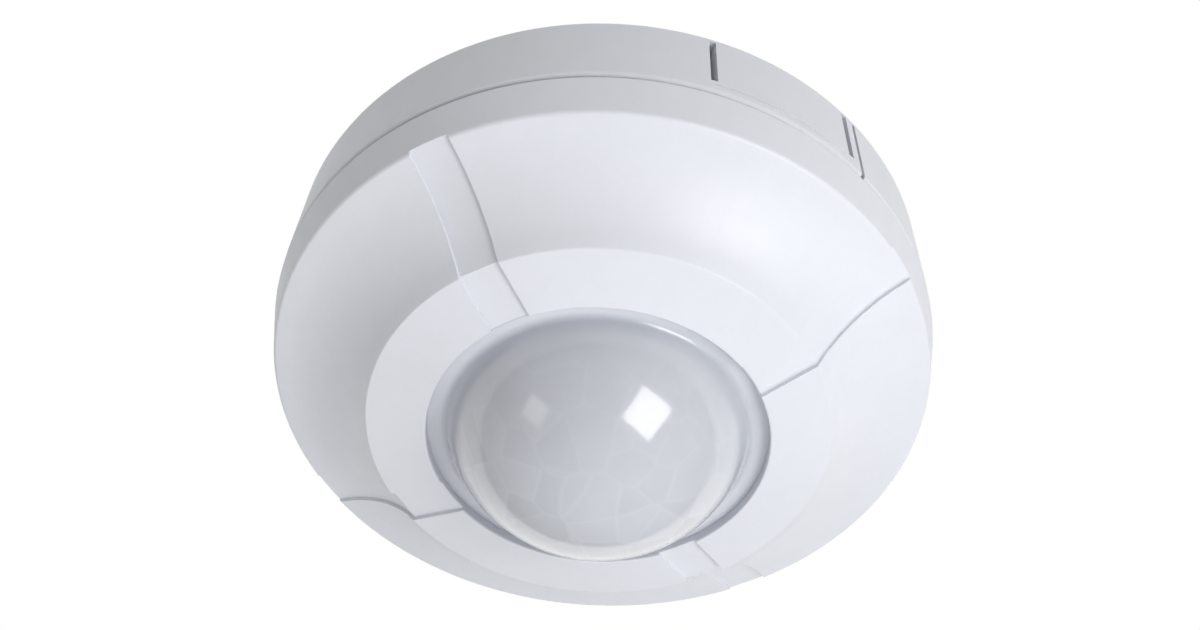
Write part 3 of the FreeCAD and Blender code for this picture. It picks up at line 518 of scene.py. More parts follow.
@dataclass(frozen=True)
class SolderMask(Finish):
    """Glass laminate under green mask, with tracks, copper areas and small vias."""

    colour: Triple
    track_cell: float = 0.20
    via_cell: float = 0.42
    weave_pitch: float = 5.2
    edge_heights: Point = (-15.55, -14.05)

    def paint(self, graph: Graph) -> None:
        """Build the shader.

        Args:
            graph: the material's node tree.
        """
        point = graph.place()
        x, y, z = graph.axes(point)
        flat = graph.stretched(point, (1.0, 1.0, 0.0))
        near = graph.cells(flat, self.track_cell, metric="MANHATTAN")
        next_near = graph.cells(flat, self.track_cell, "F2", "MANHATTAN")
        gap = next_near - near
        track = gap.below(0.10) - gap.below(0.035)
        second = gap.below(0.24) - gap.below(0.18)
        area = graph.noise(flat, 0.055, 1.0).above(0.52)
        copper = (track + second * 0.8).most(area * gap.above(0.14) * 0.9)
        via = graph.cells(flat, self.via_cell)
        ring = via.below(0.16) - via.below(0.07)
        hole = via.below(0.07)
        weave = (x * self.weave_pitch).sine() * (y * self.weave_pitch).sine()
        edge = z.above(self.edge_heights[0]) * z.below(self.edge_heights[1])
        mask = graph.blend(weave * 0.10 + 0.12, self.colour, shade(self.colour, 1.5))
        routed = graph.blend(copper * 0.55, mask, shade(self.colour, 1.9))
        ringed = graph.blend(ring * 0.7, routed, (0.42, 0.40, 0.26))
        holed = graph.blend(hole * 0.85, ringed, (0.01, 0.03, 0.02))
        colour = graph.blend(edge * 0.9, holed, (0.36, 0.40, 0.22))
        rough = 0.24 + copper * 0.05 + edge * 0.4
        graph.surface(colour, rough, copper * 0.03 + weave * 0.002 - hole * 0.05, IOR=1.5,
                      Coat_Weight=0.3, Coat_Roughness=0.12)


@dataclass(frozen=True)
class CastResin(Finish):
    """Clear or tinted resin with slight flow lines."""

    colour: Triple
    clear: float = 0.6
    spot: Triple = (0.05, 0.05, 0.05)
    spot_centre: Triple = (0.0, 0.0, 0.0)
    spot_size: float = 0.0

    def paint(self, graph: Graph) -> None:
        """Build the shader.

        Args:
            graph: the material's node tree.
        """
        point = graph.place(self.spot_centre)
        x, y, _z = graph.axes(point)
        cloud = graph.noise(point, 0.8, 3.0)
        body = graph.blend(cloud, shade(self.colour, 0.75), self.colour)
        inside = (x * x).most(y * y).below(self.spot_size ** 2)
        colour = graph.blend(inside * 0.85, body, self.spot)
        rough = 0.06 + (cloud - 0.4) * 0.1
        graph.surface(colour, rough, cloud * 0.01, IOR=1.52,
                      Transmission_Weight=self.clear)


@dataclass(frozen=True)
class PrintedSleeve(Finish):
    """A shrink sleeve round a capacitor, with a pale stripe down one side."""

    colour: Triple
    stripe: Triple
    centre: Triple
    facing: Point = (1.0, 0.0)

    def paint(self, graph: Graph) -> None:
        """Build the shader.

        Args:
            graph: the material's node tree.
        """
        point = graph.place(self.centre)
        x, y, z = graph.axes(point)
        reach = (x * x + y * y) ** 0.5
        toward = (x * self.facing[0] + y * self.facing[1]) / reach
        band = toward.above(0.90)
        dashes = (z * 0.45).part().above(0.55) * toward.above(0.97)
        cloud = graph.noise(point, 0.7, 3.0)
        base = graph.blend(cloud, self.colour, shade(self.colour, 1.8))
        striped = graph.blend(band * 0.9, base, self.stripe)
        colour = graph.blend(dashes, striped, self.colour)
        rough = 0.30 + (cloud - 0.5) * 0.2
        graph.surface(colour, rough, cloud * 0.02, IOR=1.5)


@dataclass(frozen=True)
class SpeckledCeramic(Finish):
    """Fired ceramic or moulded epoxy with a fine speckle."""

    colour: Triple
    roughness: float = 0.55

    def paint(self, graph: Graph) -> None:
        """Build the shader.

        Args:
            graph: the material's node tree.
        """
        point = graph.place()
        speck = graph.noise(point, 5.0, 2.0)
        cloud = graph.noise(point, 0.6, 3.0)
        amount = (speck - 0.5) * 1.6 + (cloud - 0.5) + 0.4
        colour = graph.blend(amount, self.colour, shade(self.colour, 1.7))
        rough = self.roughness + (speck - 0.5) * 0.25
        graph.surface(colour, rough, speck * 0.006, IOR=1.5)


class Finishes:
    """Every finish on the sensor."""

    housing = HousingPlastic("white_housing", (0.775, 0.795, 0.845))
    lens = FacetedLens("milky_lens", (0.69, 0.717, 0.782), (0.0, 0.0, -29.696))
    ring = MouldedPlastic("white_ring", (0.76, 0.77, 0.79), 0.38)
    steel = WorkedMetal("zinc_steel", (0.62, 0.63, 0.66), 0.32)
    grommet = SoftRubber("black_rubber", (0.030, 0.030, 0.033))
    board = SolderMask("green_board", (0.010, 0.085, 0.035))
    silk = MouldedPlastic("board_print", (0.78, 0.79, 0.76), 0.6, 3.0, 0.002)
    spacer = MouldedPlastic("black_spacer", (0.022, 0.022, 0.026), 0.5)
    can = WorkedMetal("nickel_can", (0.72, 0.71, 0.68), 0.24)
    window = SpeckledCeramic("dark_filter", (0.020, 0.016, 0.024), 0.12)
    tin = WorkedMetal("tinned_lead", (0.74, 0.74, 0.72), 0.28)
    lamp = CastResin("red_resin", (0.70, 0.04, 0.03), 0.45)
    photocell = CastResin("clear_resin", (0.86, 0.88, 0.90), 0.55, (0.10, 0.07, 0.05),
                          (7.6, -8.2, 0.0), 1.1)
    terminal = MouldedPlastic("green_terminal", (0.045, 0.20, 0.105), 0.40)
    clamp = WorkedMetal("plated_brass", (0.74, 0.66, 0.45), 0.30)
    adjuster = MouldedPlastic("blue_adjuster", (0.030, 0.10, 0.36), 0.30)
    rotor = MouldedPlastic("white_rotor", (0.78, 0.78, 0.74), 0.40)
    switch = MouldedPlastic("red_switch", (0.42, 0.025, 0.020), 0.34)
    switch_black = MouldedPlastic("black_switch", (0.025, 0.025, 0.028), 0.42)
    plunger = MouldedPlastic("orange_plunger", (0.72, 0.22, 0.03), 0.38)
    relay = MouldedPlastic("black_relay", (0.018, 0.018, 0.021), 0.30)
    film = MouldedPlastic("yellow_film", (0.68, 0.47, 0.06), 0.34)
    large_sleeve = PrintedSleeve("large_sleeve", (0.020, 0.022, 0.030), (0.55, 0.56, 0.58),
                                 (-27.5, 12.5, 0.0), (-0.9, 0.436))
    small_sleeve = PrintedSleeve("small_sleeve", (0.020, 0.022, 0.030), (0.55, 0.56, 0.58),
                                 (-28.5, 1.5, 0.0), (-1.0, 0.0))
    aluminium = WorkedMetal("etched_aluminium", (0.78, 0.78, 0.79), 0.36, (1.0, 6.0, 6.0))
    varistor = SpeckledCeramic("blue_dip", (0.030, 0.110, 0.330), 0.28)
    fuse = MouldedPlastic("brown_fuse", (0.115, 0.045, 0.022), 0.32)
    epoxy = SpeckledCeramic("black_epoxy", (0.022, 0.022, 0.023), 0.50)
    ceramic = SpeckledCeramic("brown_ceramic", (0.30, 0.23, 0.16), 0.42)


# ---------------------------------------------------------------- modelling
@dataclass(frozen=True)
class Corner:
    """A corner of a turned profile: its radius and depth, and how far it is rounded."""

    radius: float
    depth: float
    rounding: float = 0.0

    def spot(self) -> Vector:
        """The corner as a point of the plane."""
        return Vector((self.radius, self.depth))


def arc(centre: Point, first: Point, last: Point, steps: int) -> list[Corner]:
    """The points inside an arc, without its two ends.

    Args:
        centre: the arc's centre, as a radius and a depth.
        first: the point where it starts.
        last: the point where it ends.
        steps: how many straight runs it becomes.

    Returns:
        The points between the ends.
    """
    middle = Vector(centre)
    start = Vector(first) - middle
    sweep = start.angle_signed(Vector(last) - middle)
    corners = []
    for step in range(1, steps):
        turn = Matrix.Rotation(-sweep * step / steps, 2)
        point = middle + turn @ start
        corners.append(Corner(point.x, point.y))
    return corners


def rounded_profile(corners: list[Corner], steps: int = 4) -> list[Point]:
    """Replace each corner that has a rounding with a short arc.

    Args:
        corners: the closed profile.
        steps: how many straight runs a rounding becomes.

    Returns:
        The points of the profile.
    """
    points: list[Point] = []
    for index, corner in enumerate(corners):
        spot = corner.spot()
        if not corner.rounding:
            points.append((spot.x, spot.y))
            continue
        back = (corners[index - 1].spot() - spot).normalized()
        ahead = (corners[(index + 1) % len(corners)].spot() - spot).normalized()
        half = back.angle(ahead) / 2
        centre = spot + (back + ahead).normalized() * (corner.rounding / math.sin(half))
        reach = corner.rounding / math.tan(half)
        start, end = spot + back * reach, spot + ahead * reach
        points.append((start.x, start.y))
        points += [(c.radius, c.depth)
                   for c in arc(tuple(centre), tuple(start), tuple(end), steps)]
        points.append((end.x, end.y))
    return points


def deselect_all() -> None:
    """Leave nothing selected, in object mode."""
    if bpy.context.object and bpy.context.object.mode != "OBJECT":
        bpy.ops.object.mode_set(mode="OBJECT")
    bpy.ops.object.select_all(action="DESELECT")


class Workpiece:
    """One mesh that is being shaped, in millimetres."""

    def __init__(self, thing: bpy.types.Object) -> None:
        """Take up an object."""
        self.thing = thing

    # ---- starts
    @classmethod
    def block(cls, name: str, low: Triple, high: Triple) -> "Workpiece":
        """A cuboid between two corners.

        Args:
            name: the piece's name.
            low: the lowest corner.
            high: the highest corner.

        Returns:
            The piece.
        """
        deselect_all()
        middle = [(a + b) / 2 for a, b in zip(low, high)]
        bpy.ops.mesh.primitive_cube_add(size=1.0, location=middle)
        thing = bpy.context.object
        thing.name = name
        thing.scale = [b - a for a, b in zip(low, high)]
        return cls(thing).settle()

    @classmethod
    def barrel(cls, name: str, radius: float, centre: Point, depths: Point,
               sides: int = 32) -> "Workpiece":
        """An upright cylinder between two depths.

        Args:
            name: the piece's name.
            radius: its radius.
            centre: where the axis stands.
            depths: the depths of its two ends.
            sides: how many sides it has.

        Returns:
            The piece.
        """
        deselect_all()
        middle = (centre[0], centre[1], -(depths[0] + depths[1]) / 2)
        bpy.ops.mesh.primitive_cylinder_add(vertices=sides, radius=radius, location=middle,
                                            depth=abs(depths[1] - depths[0]))
        bpy.context.object.name = name
        return cls(bpy.context.object).settle()

    @classmethod
    def line(cls, name: str, points: list[Point], closed: bool) -> "Workpiece":
        """A line of edges in the XZ plane, left in edit mode with all of it selected.

        Args:
            name: the piece's name.
            points: radius and depth of each point.
            closed: whether the last point joins the first.

        Returns:
            The piece.
        """
        deselect_all()
        bpy.ops.mesh.primitive_plane_add(size=1.0, location=(0.0, 0.0, 0.0))
        piece = cls(bpy.context.object)
        piece.thing.name = name
        bpy.ops.object.mode_set(mode="EDIT")
        bpy.ops.mesh.select_mode(type="VERT")
        bpy.ops.mesh.select_all(action="SELECT")
        bpy.ops.mesh.merge(type="CENTER")
        here = Vector((points[0][0], 0.0, -points[0][1]))
        bpy.ops.transform.translate(value=here)
        for radius, depth in points[1:]:
            there = Vector((radius, 0.0, -depth))
            bpy.ops.mesh.extrude_vertices_move(TRANSFORM_OT_translate={"value": there - here})
            here = there
        if closed:
            mesh = bmesh.from_edit_mesh(piece.thing.data)
            for vertex in mesh.verts:
                vertex.select_set(len(vertex.link_edges) == 1)
            mesh.select_flush_mode()
            bmesh.update_edit_mesh(piece.thing.data)
            bpy.ops.mesh.edge_face_add()
        bpy.ops.mesh.select_all(action="SELECT")
        return piece

    @classmethod
    def turned(cls, name: str, corners: list[Corner], steps: int = 64,
               centre: Point = (0.0, 0.0), closed: bool = True) -> "Workpiece":
        """A shape turned round an upright axis.

        Args:
            name: the piece's name.
            corners: the profile.
            steps: how many runs the full turn becomes.
            centre: where the axis stands.
            closed: whether the profile's ends join; not so when both lie on the axis.

        Returns:
            The piece.
        """
        piece = cls.line(name, rounded_profile(corners), closed)
        bpy.ops.mesh.spin(steps=steps, angle=math.tau, center=(0.0, 0.0, 0.0),
                          axis=(0.0, 0.0, 1.0))
        bpy.ops.mesh.select_all(action="SELECT")
        bpy.ops.mesh.remove_doubles(threshold=MERGE_DISTANCE)
        bpy.ops.mesh.normals_make_consistent(inside=False)
        bpy.ops.transform.translate(value=(centre[0], centre[1], 0.0))
        bpy.ops.object.mode_set(mode="OBJECT")
        return piece

    @classmethod
    def slab(cls, name: str, points: list[Point], width: float) -> "Workpiece":
        """A flat outline in the XZ plane, thickened to both sides of it.

        Args:
            name: the piece's name.
            points: radius and depth of each point.
            width: the whole thickness.

        Returns:
            The piece.
        """
        piece = cls.line(name, points, True)
        bpy.ops.transform.translate(value=(0.0, -width / 2, 0.0))
        bpy.ops.mesh.edge_face_add()
        bpy.ops.mesh.extrude_region_move(TRANSFORM_OT_translate={"value": (0.0, width, 0.0)})
        bpy.ops.mesh.select_all(action="SELECT")
        bpy.ops.mesh.normals_make_consistent(inside=False)
        bpy.ops.object.mode_set(mode="OBJECT")
        return piece

    @classmethod
    def from_node(cls, name: str, node: str) -> "Workpiece":
        """A merged copy of a CAD node's mesh, in millimetres.

        Args:
            name: the piece's name.
            node: the CAD node.

        Returns:
            The piece.
        """
        deselect_all()
        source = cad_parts[node]
        thing = bpy.data.objects.new(name, source.data.copy())
        bpy.context.scene.collection.objects.link(thing)
        thing.data.materials.clear()
        thing.scale = (1.0 / MILLIMETRE,) * 3
        piece = cls(thing).settle()
        with piece.editing():
            bpy.ops.mesh.select_all(action="SELECT")
            bpy.ops.mesh.customdata_custom_splitnormals_clear()
            bpy.ops.mesh.remove_doubles(threshold=MERGE_DISTANCE)
            bpy.ops.mesh.dissolve_limited(angle_limit=math.radians(1.0))
        return piece

    # ---- handling
    def hold(self) -> "Workpiece":
        """Make this the only selected object and the active one.

        Returns:
            The piece.
        """
        deselect_all()
        self.thing.select_set(True)
        bpy.context.view_layer.objects.active = self.thing
        return self

    def settle(self) -> "Workpiece":
        """Move the object's place, turn and scale into its mesh.

        Returns:
            The piece.
        """
        self.hold()
        bpy.ops.object.transform_apply(location=True, rotation=True, scale=True)
        return self

    @contextmanager
    def editing(self) -> Iterator[None]:
        """Work in edit mode, with faces as what is picked.

        Yields:
            Nothing. Edit mode ends with the block.
        """
        self.hold()
        bpy.ops.object.mode_set(mode="EDIT")
        bpy.ops.mesh.select_mode(type="FACE")
        yield
        bpy.ops.object.mode_set(mode="OBJECT")

    def pick(self, test: FaceTest) -> None:
        """Select the faces whose middle and normal pass a test, in edit mode.

        Args:
            test: says whether a face with this middle and normal is wanted.
        """
        bpy.ops.mesh.select_all(action="DESELECT")
        mesh = bmesh.from_edit_mesh(self.thing.data)
        for face in mesh.faces:
            if test(face.calc_center_median(), face.normal):
                face.select_set(True)
        bmesh.update_edit_mesh(self.thing.data)

    def turned_by(self, degrees: float, axis: int = 2) -> "Workpiece":
        """Turn the piece about an axis through the origin."""
        self.thing.rotation_euler[axis] = math.radians(degrees)
        return self.settle()

    def moved(self, x: float, y: float, z: float = 0.0) -> "Workpiece":
        """Move the piece."""
        self.thing.location = (x, y, z)
        return self.settle()

    def copied(self, name: str) -> "Workpiece":
        """A copy with its own mesh.

        Args:
            name: the copy's name.

        Returns:
            The copy.
        """
        thing = self.thing.copy()
        thing.data = self.thing.data.copy()
        thing.name = name
        bpy.context.scene.collection.objects.link(thing)
        return Workpiece(thing)

    # ---- shaping
    def inset(self, test: FaceTest, thickness: float, depth: float) -> "Workpiece":
        """Inset the picked faces and sink them, or raise them where depth is below 0.

        Args:
            test: says which faces are wanted.
            thickness: the width of the border.
            depth: how far the inner face sinks.

        Returns:
            The piece.
        """
        with self.editing():
            self.pick(test)
            bpy.ops.mesh.inset(thickness=thickness, depth=0.0)
            bpy.ops.mesh.inset(thickness=min(0.05, thickness / 4), depth=-depth)
        return self

    def _modify(self, kind: str, **settings: Any) -> "Workpiece":
        """Add a modifier and apply it.

        Args:
            kind: Blender's name of the modifier.
            settings: its properties.

        Returns:
            The piece.
        """
        self.hold()
        modifier = self.thing.modifiers.new(kind.lower(), kind)
        for name, value in settings.items():
            setattr(modifier, name, value)
        bpy.ops.object.modifier_apply(modifier=modifier.name)
        return self

    def _combine(self, operation: str, others: tuple["Workpiece", ...]) -> "Workpiece":
        """Combine with other pieces, which are used up.

        Args:
            operation: UNION or DIFFERENCE.
            others: the other pieces.

        Returns:
            The piece.
        """
        for other in others:
            self._modify("BOOLEAN", operation=operation, solver="EXACT", object=other.thing)
            bpy.data.objects.remove(other.thing)
        return self

    def cut(self, *others: "Workpiece") -> "Workpiece":
        """Take other pieces away from this one."""
        return self._combine("DIFFERENCE", others)

    def weld(self, *others: "Workpiece") -> "Workpiece":
        """Make one solid with other pieces."""
        return self._combine("UNION", others)

    def join(self, *others: "Workpiece") -> "Workpiece":
        """Take other pieces into this object as they are.

        Args:
            others: the other pieces.

        Returns:
            The piece.
        """
        self.hold()
        for other in others:
            other.thing.select_set(True)
        if others:
            bpy.ops.object.join()
        return self

    def ringed(self, circle: float, azimuths: tuple[float, ...], depth: float) -> "Workpiece":
        """Repeat the piece round a circle, all in one object.

        Args:
            circle: the circle's radius.
            azimuths: where the pieces stand on it, in degrees.
            depth: how far below the ceiling.

        Returns:
            The piece.
        """
        copies = [self.copied("copy").moved(*polar(circle, azimuth), -depth)
                  for azimuth in azimuths[1:]]
        return self.moved(*polar(circle, azimuths[0]), -depth).join(*copies)

    def soften(self, width: float, segments: int = 2, angle: float = 32.0) -> "Workpiece":
        """Bevel every edge sharper than an angle.

        Args:
            width: the bevel's width.
            segments: how many steps round it has.
            angle: in degrees.

        Returns:
            The piece.
        """
        return self._modify("BEVEL", width=width, segments=segments, limit_method="ANGLE",
                            angle_limit=math.radians(angle), use_clamp_overlap=True,
                            miter_outer="MITER_ARC")

    def shaded(self, angle: float = 40.0) -> "Workpiece":
        """Shade smooth, with normals that keep the flats flat.

        Args:
            angle: edges sharper than this stay sharp, in degrees.

        Returns:
            The piece.
        """
        self.hold()
        bpy.ops.object.shade_smooth_by_angle(angle=math.radians(angle))
        return self._modify("WEIGHTED_NORMAL", keep_sharp=True, weight=60)

    def finished(self, body: Body, slot: Slot, finish: Finish, *nodes: str) -> "Workpiece":
        """Bring the piece to metres and fit it into the frame.

        Args:
            body: the CAD body that it rides on.
            slot: the record's slot; not used.
            finish: what it is made of.
            nodes: the CAD nodes that it stands for.

        Returns:
            The piece.
        """
        self.thing.scale = (MILLIMETRE,) * 3
        self.settle()
        self.thing.data.materials.clear()
        self.thing.data.materials.append(finish.material())
        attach(self.thing, body.value)
        if nodes:
            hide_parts(*nodes)
        log.info("%s: %d faces", self.thing.name, len(self.thing.data.polygons))
        return self


def polar(radius: float, azimuth: float) -> Point:
    """The x and y of a point at a radius and an azimuth in degrees."""
    angle = math.radians(azimuth)
    return radius * math.cos(angle), radius * math.sin(angle)


def node_box(node: str) -> tuple[Vector, Vector]:
    """The lowest and highest corner of a CAD node, in millimetres."""
    low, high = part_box(node)
    return low / MILLIMETRE, high / MILLIMETRE


def dress(node: str, finish: Finish) -> None:
    """Give a CAD node's own mesh a finish.

    Args:
        node: the CAD node.
        finish: what it is made of.
    """
    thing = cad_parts[node]
    thing.data.materials.clear()
    thing.data.materials.append(finish.material())
    log.info("%s: CAD mesh in %s", node, finish.name)


# ---------------------------------------------------------------- housing
@dataclass
class Cover:
    """The front moulding: side wall, concave front, collar, channels and tamper blade."""

    back_radius: float = 53.0
    back_depth: float = 16.9
    rim_radius: float = 52.0
    rim_depth: float = 24.8
    cove_sag: float = 1.786
    collar_radius: float = 36.1
    collar_depth: float = 36.4
    opening_radius: float = 26.5
    opening_depth: float = 38.6
    seat_depth: float = 36.7
    seat_radius: float = 29.4
    ledge_depth: float = 33.9
    wall: float = 2.2
    spigot_inner: float = 47.5
    spigot_outer: float = 49.1
    spigot_back: float = 13.4
    shoulder_depth: float = 18.5
    channel_width: float = 6.7
    channel_recess: float = 0.7
    channel_overrun: float = 1.9
    side_gap: float = 0.88
    tamper_circle: float = 36.4
    tamper_azimuth: float = 20.0
    screw_circle: float = 31.7
    screw_azimuths: tuple[float, ...] = (45.0, 165.0, 285.0)
    steps: int = 240

    def cove(self) -> tuple[Vector, float]:
        """The centre and radius of the concave front's arc.

        Returns:
            The centre, as a radius and a depth, and the arc's radius.
        """
        rim = Vector((self.rim_radius, self.rim_depth))
        collar = Vector((self.collar_radius, self.collar_depth))
        chord = collar - rim
        radius = (chord.length ** 2 / 4 + self.cove_sag ** 2) / (2 * self.cove_sag)
        outward = Vector((chord.y, -chord.x)).normalized()
        return (rim + collar) / 2 + outward * (radius - self.cove_sag), radius

    def cove_depth(self, radius: float, added: float) -> float:
        """Depth of the concave front at a radius, sunk into the wall."""
        centre, bend = self.cove()
        return centre.y - math.sqrt((bend + added) ** 2 - (centre.x - radius) ** 2)

    def cove_radius(self, depth: float, added: float) -> float:
        """Radius of the concave front at a depth, sunk into the wall."""
        centre, bend = self.cove()
        return centre.x - math.sqrt((bend + added) ** 2 - (centre.y - depth) ** 2)

    def shell(self) -> Workpiece:
        """The turned wall.

        Returns:
            The piece, before it is cut.
        """
        centre = tuple(self.cove()[0])
        rim = (self.rim_radius, self.rim_depth)
        collar = (self.collar_radius, self.collar_depth)
        inner_top = (self.cove_radius(self.ledge_depth, self.wall), self.ledge_depth)
        side_inner = self.spigot_outer + self.side_gap
        inner_foot = (side_inner, self.cove_depth(side_inner, self.wall))
        corners = [Corner(self.back_radius, self.back_depth, 0.5), Corner(*rim, 0.8)]
        corners += arc(centre, rim, collar, 16)[1:-1]
        corners += [
            Corner(*collar, 0.5),
            Corner(self.opening_radius, self.opening_depth, 0.35),
            Corner(self.opening_radius, self.seat_depth),
            Corner(self.seat_radius, self.seat_depth),
            Corner(self.seat_radius, self.ledge_depth, 0.2),
            Corner(*inner_top),
        ]
        corners += arc(centre, inner_top, inner_foot, 12)
        corners += [
            Corner(*inner_foot),
            Corner(side_inner, self.shoulder_depth + self.wall, 0.5),
            Corner(self.spigot_inner, self.shoulder_depth),
            Corner(self.spigot_inner, self.spigot_back, 0.3),
            Corner(self.spigot_outer, self.spigot_back, 0.4),
            Corner(self.spigot_outer, self.back_depth),
        ]
        return Workpiece.turned("cover_moulding", corners, self.steps)

    def channel(self, azimuth: float) -> Workpiece:
        """The tool that cuts one straight channel.

        Args:
            azimuth: the channel's direction, in degrees.

        Returns:
            The tool.
        """
        centre = tuple(self.cove()[0])
        floor_depth = self.collar_depth - self.channel_recess
        inside = self.opening_radius - self.channel_overrun
        slope = ((self.opening_depth - self.collar_depth)
                 / (self.collar_radius - self.opening_radius))
        inside_depth = self.opening_depth + self.channel_overrun * slope - self.channel_recess
        outside = self.back_radius + self.wall / 2
        foot = (self.cove_radius(floor_depth, self.channel_recess), floor_depth)
        end = (outside, self.cove_depth(outside, self.channel_recess))
        points = [(inside, inside_depth), foot]
        points += [(c.radius, c.depth) for c in arc(centre, foot, end, 14)]
        beyond = self.opening_depth + 3.0
        points += [end, (outside, beyond), (inside, beyond)]
        return Workpiece.slab("channel_tool", points, self.channel_width).turned_by(azimuth)

    def blade(self) -> Workpiece:
        """The blade inside the cover that presses the tamper switch's plunger.

        Returns:
            The blade, in its place.
        """
        low = node_box("tamper_plunger")[0].z
        root = -self.cove_depth(self.tamper_circle, self.wall / 2)
        x = self.tamper_circle
        blade = Workpiece.block("tamper_blade", (x - 1.0, -2.5, root), (x + 1.0, 2.5, low - 0.3))
        return blade.turned_by(self.tamper_azimuth)

    def make(self) -> None:
        """Model the cover."""
        cover = self.shell()
        cover.cut(*[self.channel(azimuth) for azimuth in (0.0, 90.0, 180.0, 270.0)])
        cover.weld(self.blade())
        cover.cut(*[Workpiece.barrel("pilot", 1.0, polar(self.screw_circle, azimuth),
                                     (self.ledge_depth - 0.5, self.ledge_depth + 2.0), 20)
                    for azimuth in self.screw_azimuths])
        cover.soften(0.2, 3, 38.0).shaded(30.0)
        cover.finished(Body.COVER, Slot.HOUSING, Finishes.housing, "front_cover")


@dataclass
class Base:
    """The moulding against the ceiling, with its posts, holes, slots and break line."""

    back_radius: float = 51.6
    lip_radius: float = 52.9
    depth: float = 16.3
    inner_radius: float = 49.4
    plate: float = 2.4
    post_circle: float = 38.0
    post_radius: float = 3.4
    post_depth: float = 14.0
    post_bore: float = 1.25
    bore_length: float = 7.0
    post_azimuths: tuple[float, ...] = (90.0, 210.0, 330.0)
    fixing_circle: float = 35.0
    fixing_azimuths: tuple[float, ...] = (45.0, 225.0)
    fixing_radius: float = 2.25
    entry_radius: float = 10.0
    recess_radius: float = 13.0
    recess: float = 1.0
    slots: tuple[tuple[float, float, float], ...] = (
        (-42.7, 1.1, 13.2), (-15.2, 1.1, 13.2), (-12.6, 0.7, 18.0))
    slot_start: float = 1.2
    score_depth: float = 14.0
    steps: int = 240

    def shell(self) -> Workpiece:
        """The turned plate and wall, with the entry hole and its recess.

        Returns:
            The piece, before it is cut.
        """
        return Workpiece.turned("base_moulding", [
            Corner(self.entry_radius, self.recess, 0.15),
            Corner(self.recess_radius, self.recess),
            Corner(self.recess_radius, 0.0, 0.2),
            Corner(self.back_radius, 0.0, 1.0),
            Corner(self.lip_radius, self.depth, 0.8),
            Corner(self.inner_radius, self.depth, 0.25),
            Corner(self.inner_radius, self.plate, 0.6),
            Corner(self.entry_radius, self.plate, 0.15),
        ], self.steps)

    def post(self, azimuth: float) -> Workpiece:
        """A hollow post with a foot fillet.

        Args:
            azimuth: where it stands, in degrees.

        Returns:
            The post.
        """
        bore_end = self.post_depth - self.bore_length
        return Workpiece.turned("post", [
            Corner(self.post_bore, bore_end),
            Corner(0.0, bore_end),
            Corner(0.0, self.plate - 0.4),
            Corner(self.post_radius + 0.9, self.plate - 0.4),
            Corner(self.post_radius + 0.9, self.plate),
            Corner(self.post_radius + 0.25, self.plate + 0.25),
            Corner(self.post_radius, self.plate + 0.9),
            Corner(self.post_radius, self.post_depth, 0.3),
            Corner(self.post_bore, self.post_depth, 0.2),
        ], 32, polar(self.post_circle, azimuth))

    def slot_tool(self, azimuth: float, width: float, end: float) -> Workpiece:
        """The tool that cuts one slot in the wall.

        Args:
            azimuth: where the slot is, in degrees.
            width: its width.
            end: the depth where it ends.

        Returns:
            The tool.
        """
        low = (self.inner_radius - 1.5, -width / 2, -end)
        high = (self.lip_radius + 1.5, width / 2, -self.slot_start)
        return Workpiece.block("slot_tool", low, high).turned_by(azimuth)

    def score_tool(self) -> Workpiece:
        """The V-shaped tool that cuts the break line between two slots.

        Returns:
            The tool.
        """
        rise = self.lip_radius - self.back_radius
        face = self.back_radius + rise * self.score_depth / self.depth
        deep, back, front = face - 0.35, self.score_depth, self.score_depth + 0.4
        points = [(deep, back + 0.1), (face + 1.0, back - 0.25), (face + 1.0, front + 0.25),
                  (deep, front - 0.1)]
        first, last = self.slots[0][0], self.slots[1][0]
        tool = Workpiece.line("score_tool", points, True)
        bpy.ops.mesh.edge_face_add()
        bpy.ops.mesh.spin(steps=24, angle=math.radians(first - last),
                          center=(0.0, 0.0, 0.0), axis=(0.0, 0.0, 1.0))
        bpy.ops.mesh.select_all(action="SELECT")
        bpy.ops.mesh.remove_doubles(threshold=MERGE_DISTANCE)
        bpy.ops.mesh.normals_make_consistent(inside=False)
        bpy.ops.object.mode_set(mode="OBJECT")
        return tool.turned_by(first)

    def fixing_tool(self, azimuth: float) -> Workpiece:
        """The tool for a fixing hole, a little wider where the screw goes in.

        Args:
            azimuth: where the hole is, in degrees.

        Returns:
            The tool.
        """
        return Workpiece.turned("fixing_tool", [
            Corner(0.0, -1.0),
            Corner(self.fixing_radius, -1.0),
            Corner(self.fixing_radius, self.plate - 0.35),
            Corner(self.fixing_radius + 0.7, self.plate + 0.4),
            Corner(0.0, self.plate + 0.4),
        ], 40, polar(self.fixing_circle, azimuth), closed=False)

    def make(self) -> None:
        """Model the base."""
        base = self.shell()
        base.cut(*[self.slot_tool(*slot) for slot in self.slots], self.score_tool())
        base.cut(*[self.fixing_tool(azimuth) for azimuth in self.fixing_azimuths])
        base.weld(*[self.post(azimuth) for azimuth in self.post_azimuths])
        base.soften(0.12, 2, 38.0).shaded(30.0)
        base.finished(Body.BASE, Slot.HOUSING, Finishes.housing, "base")


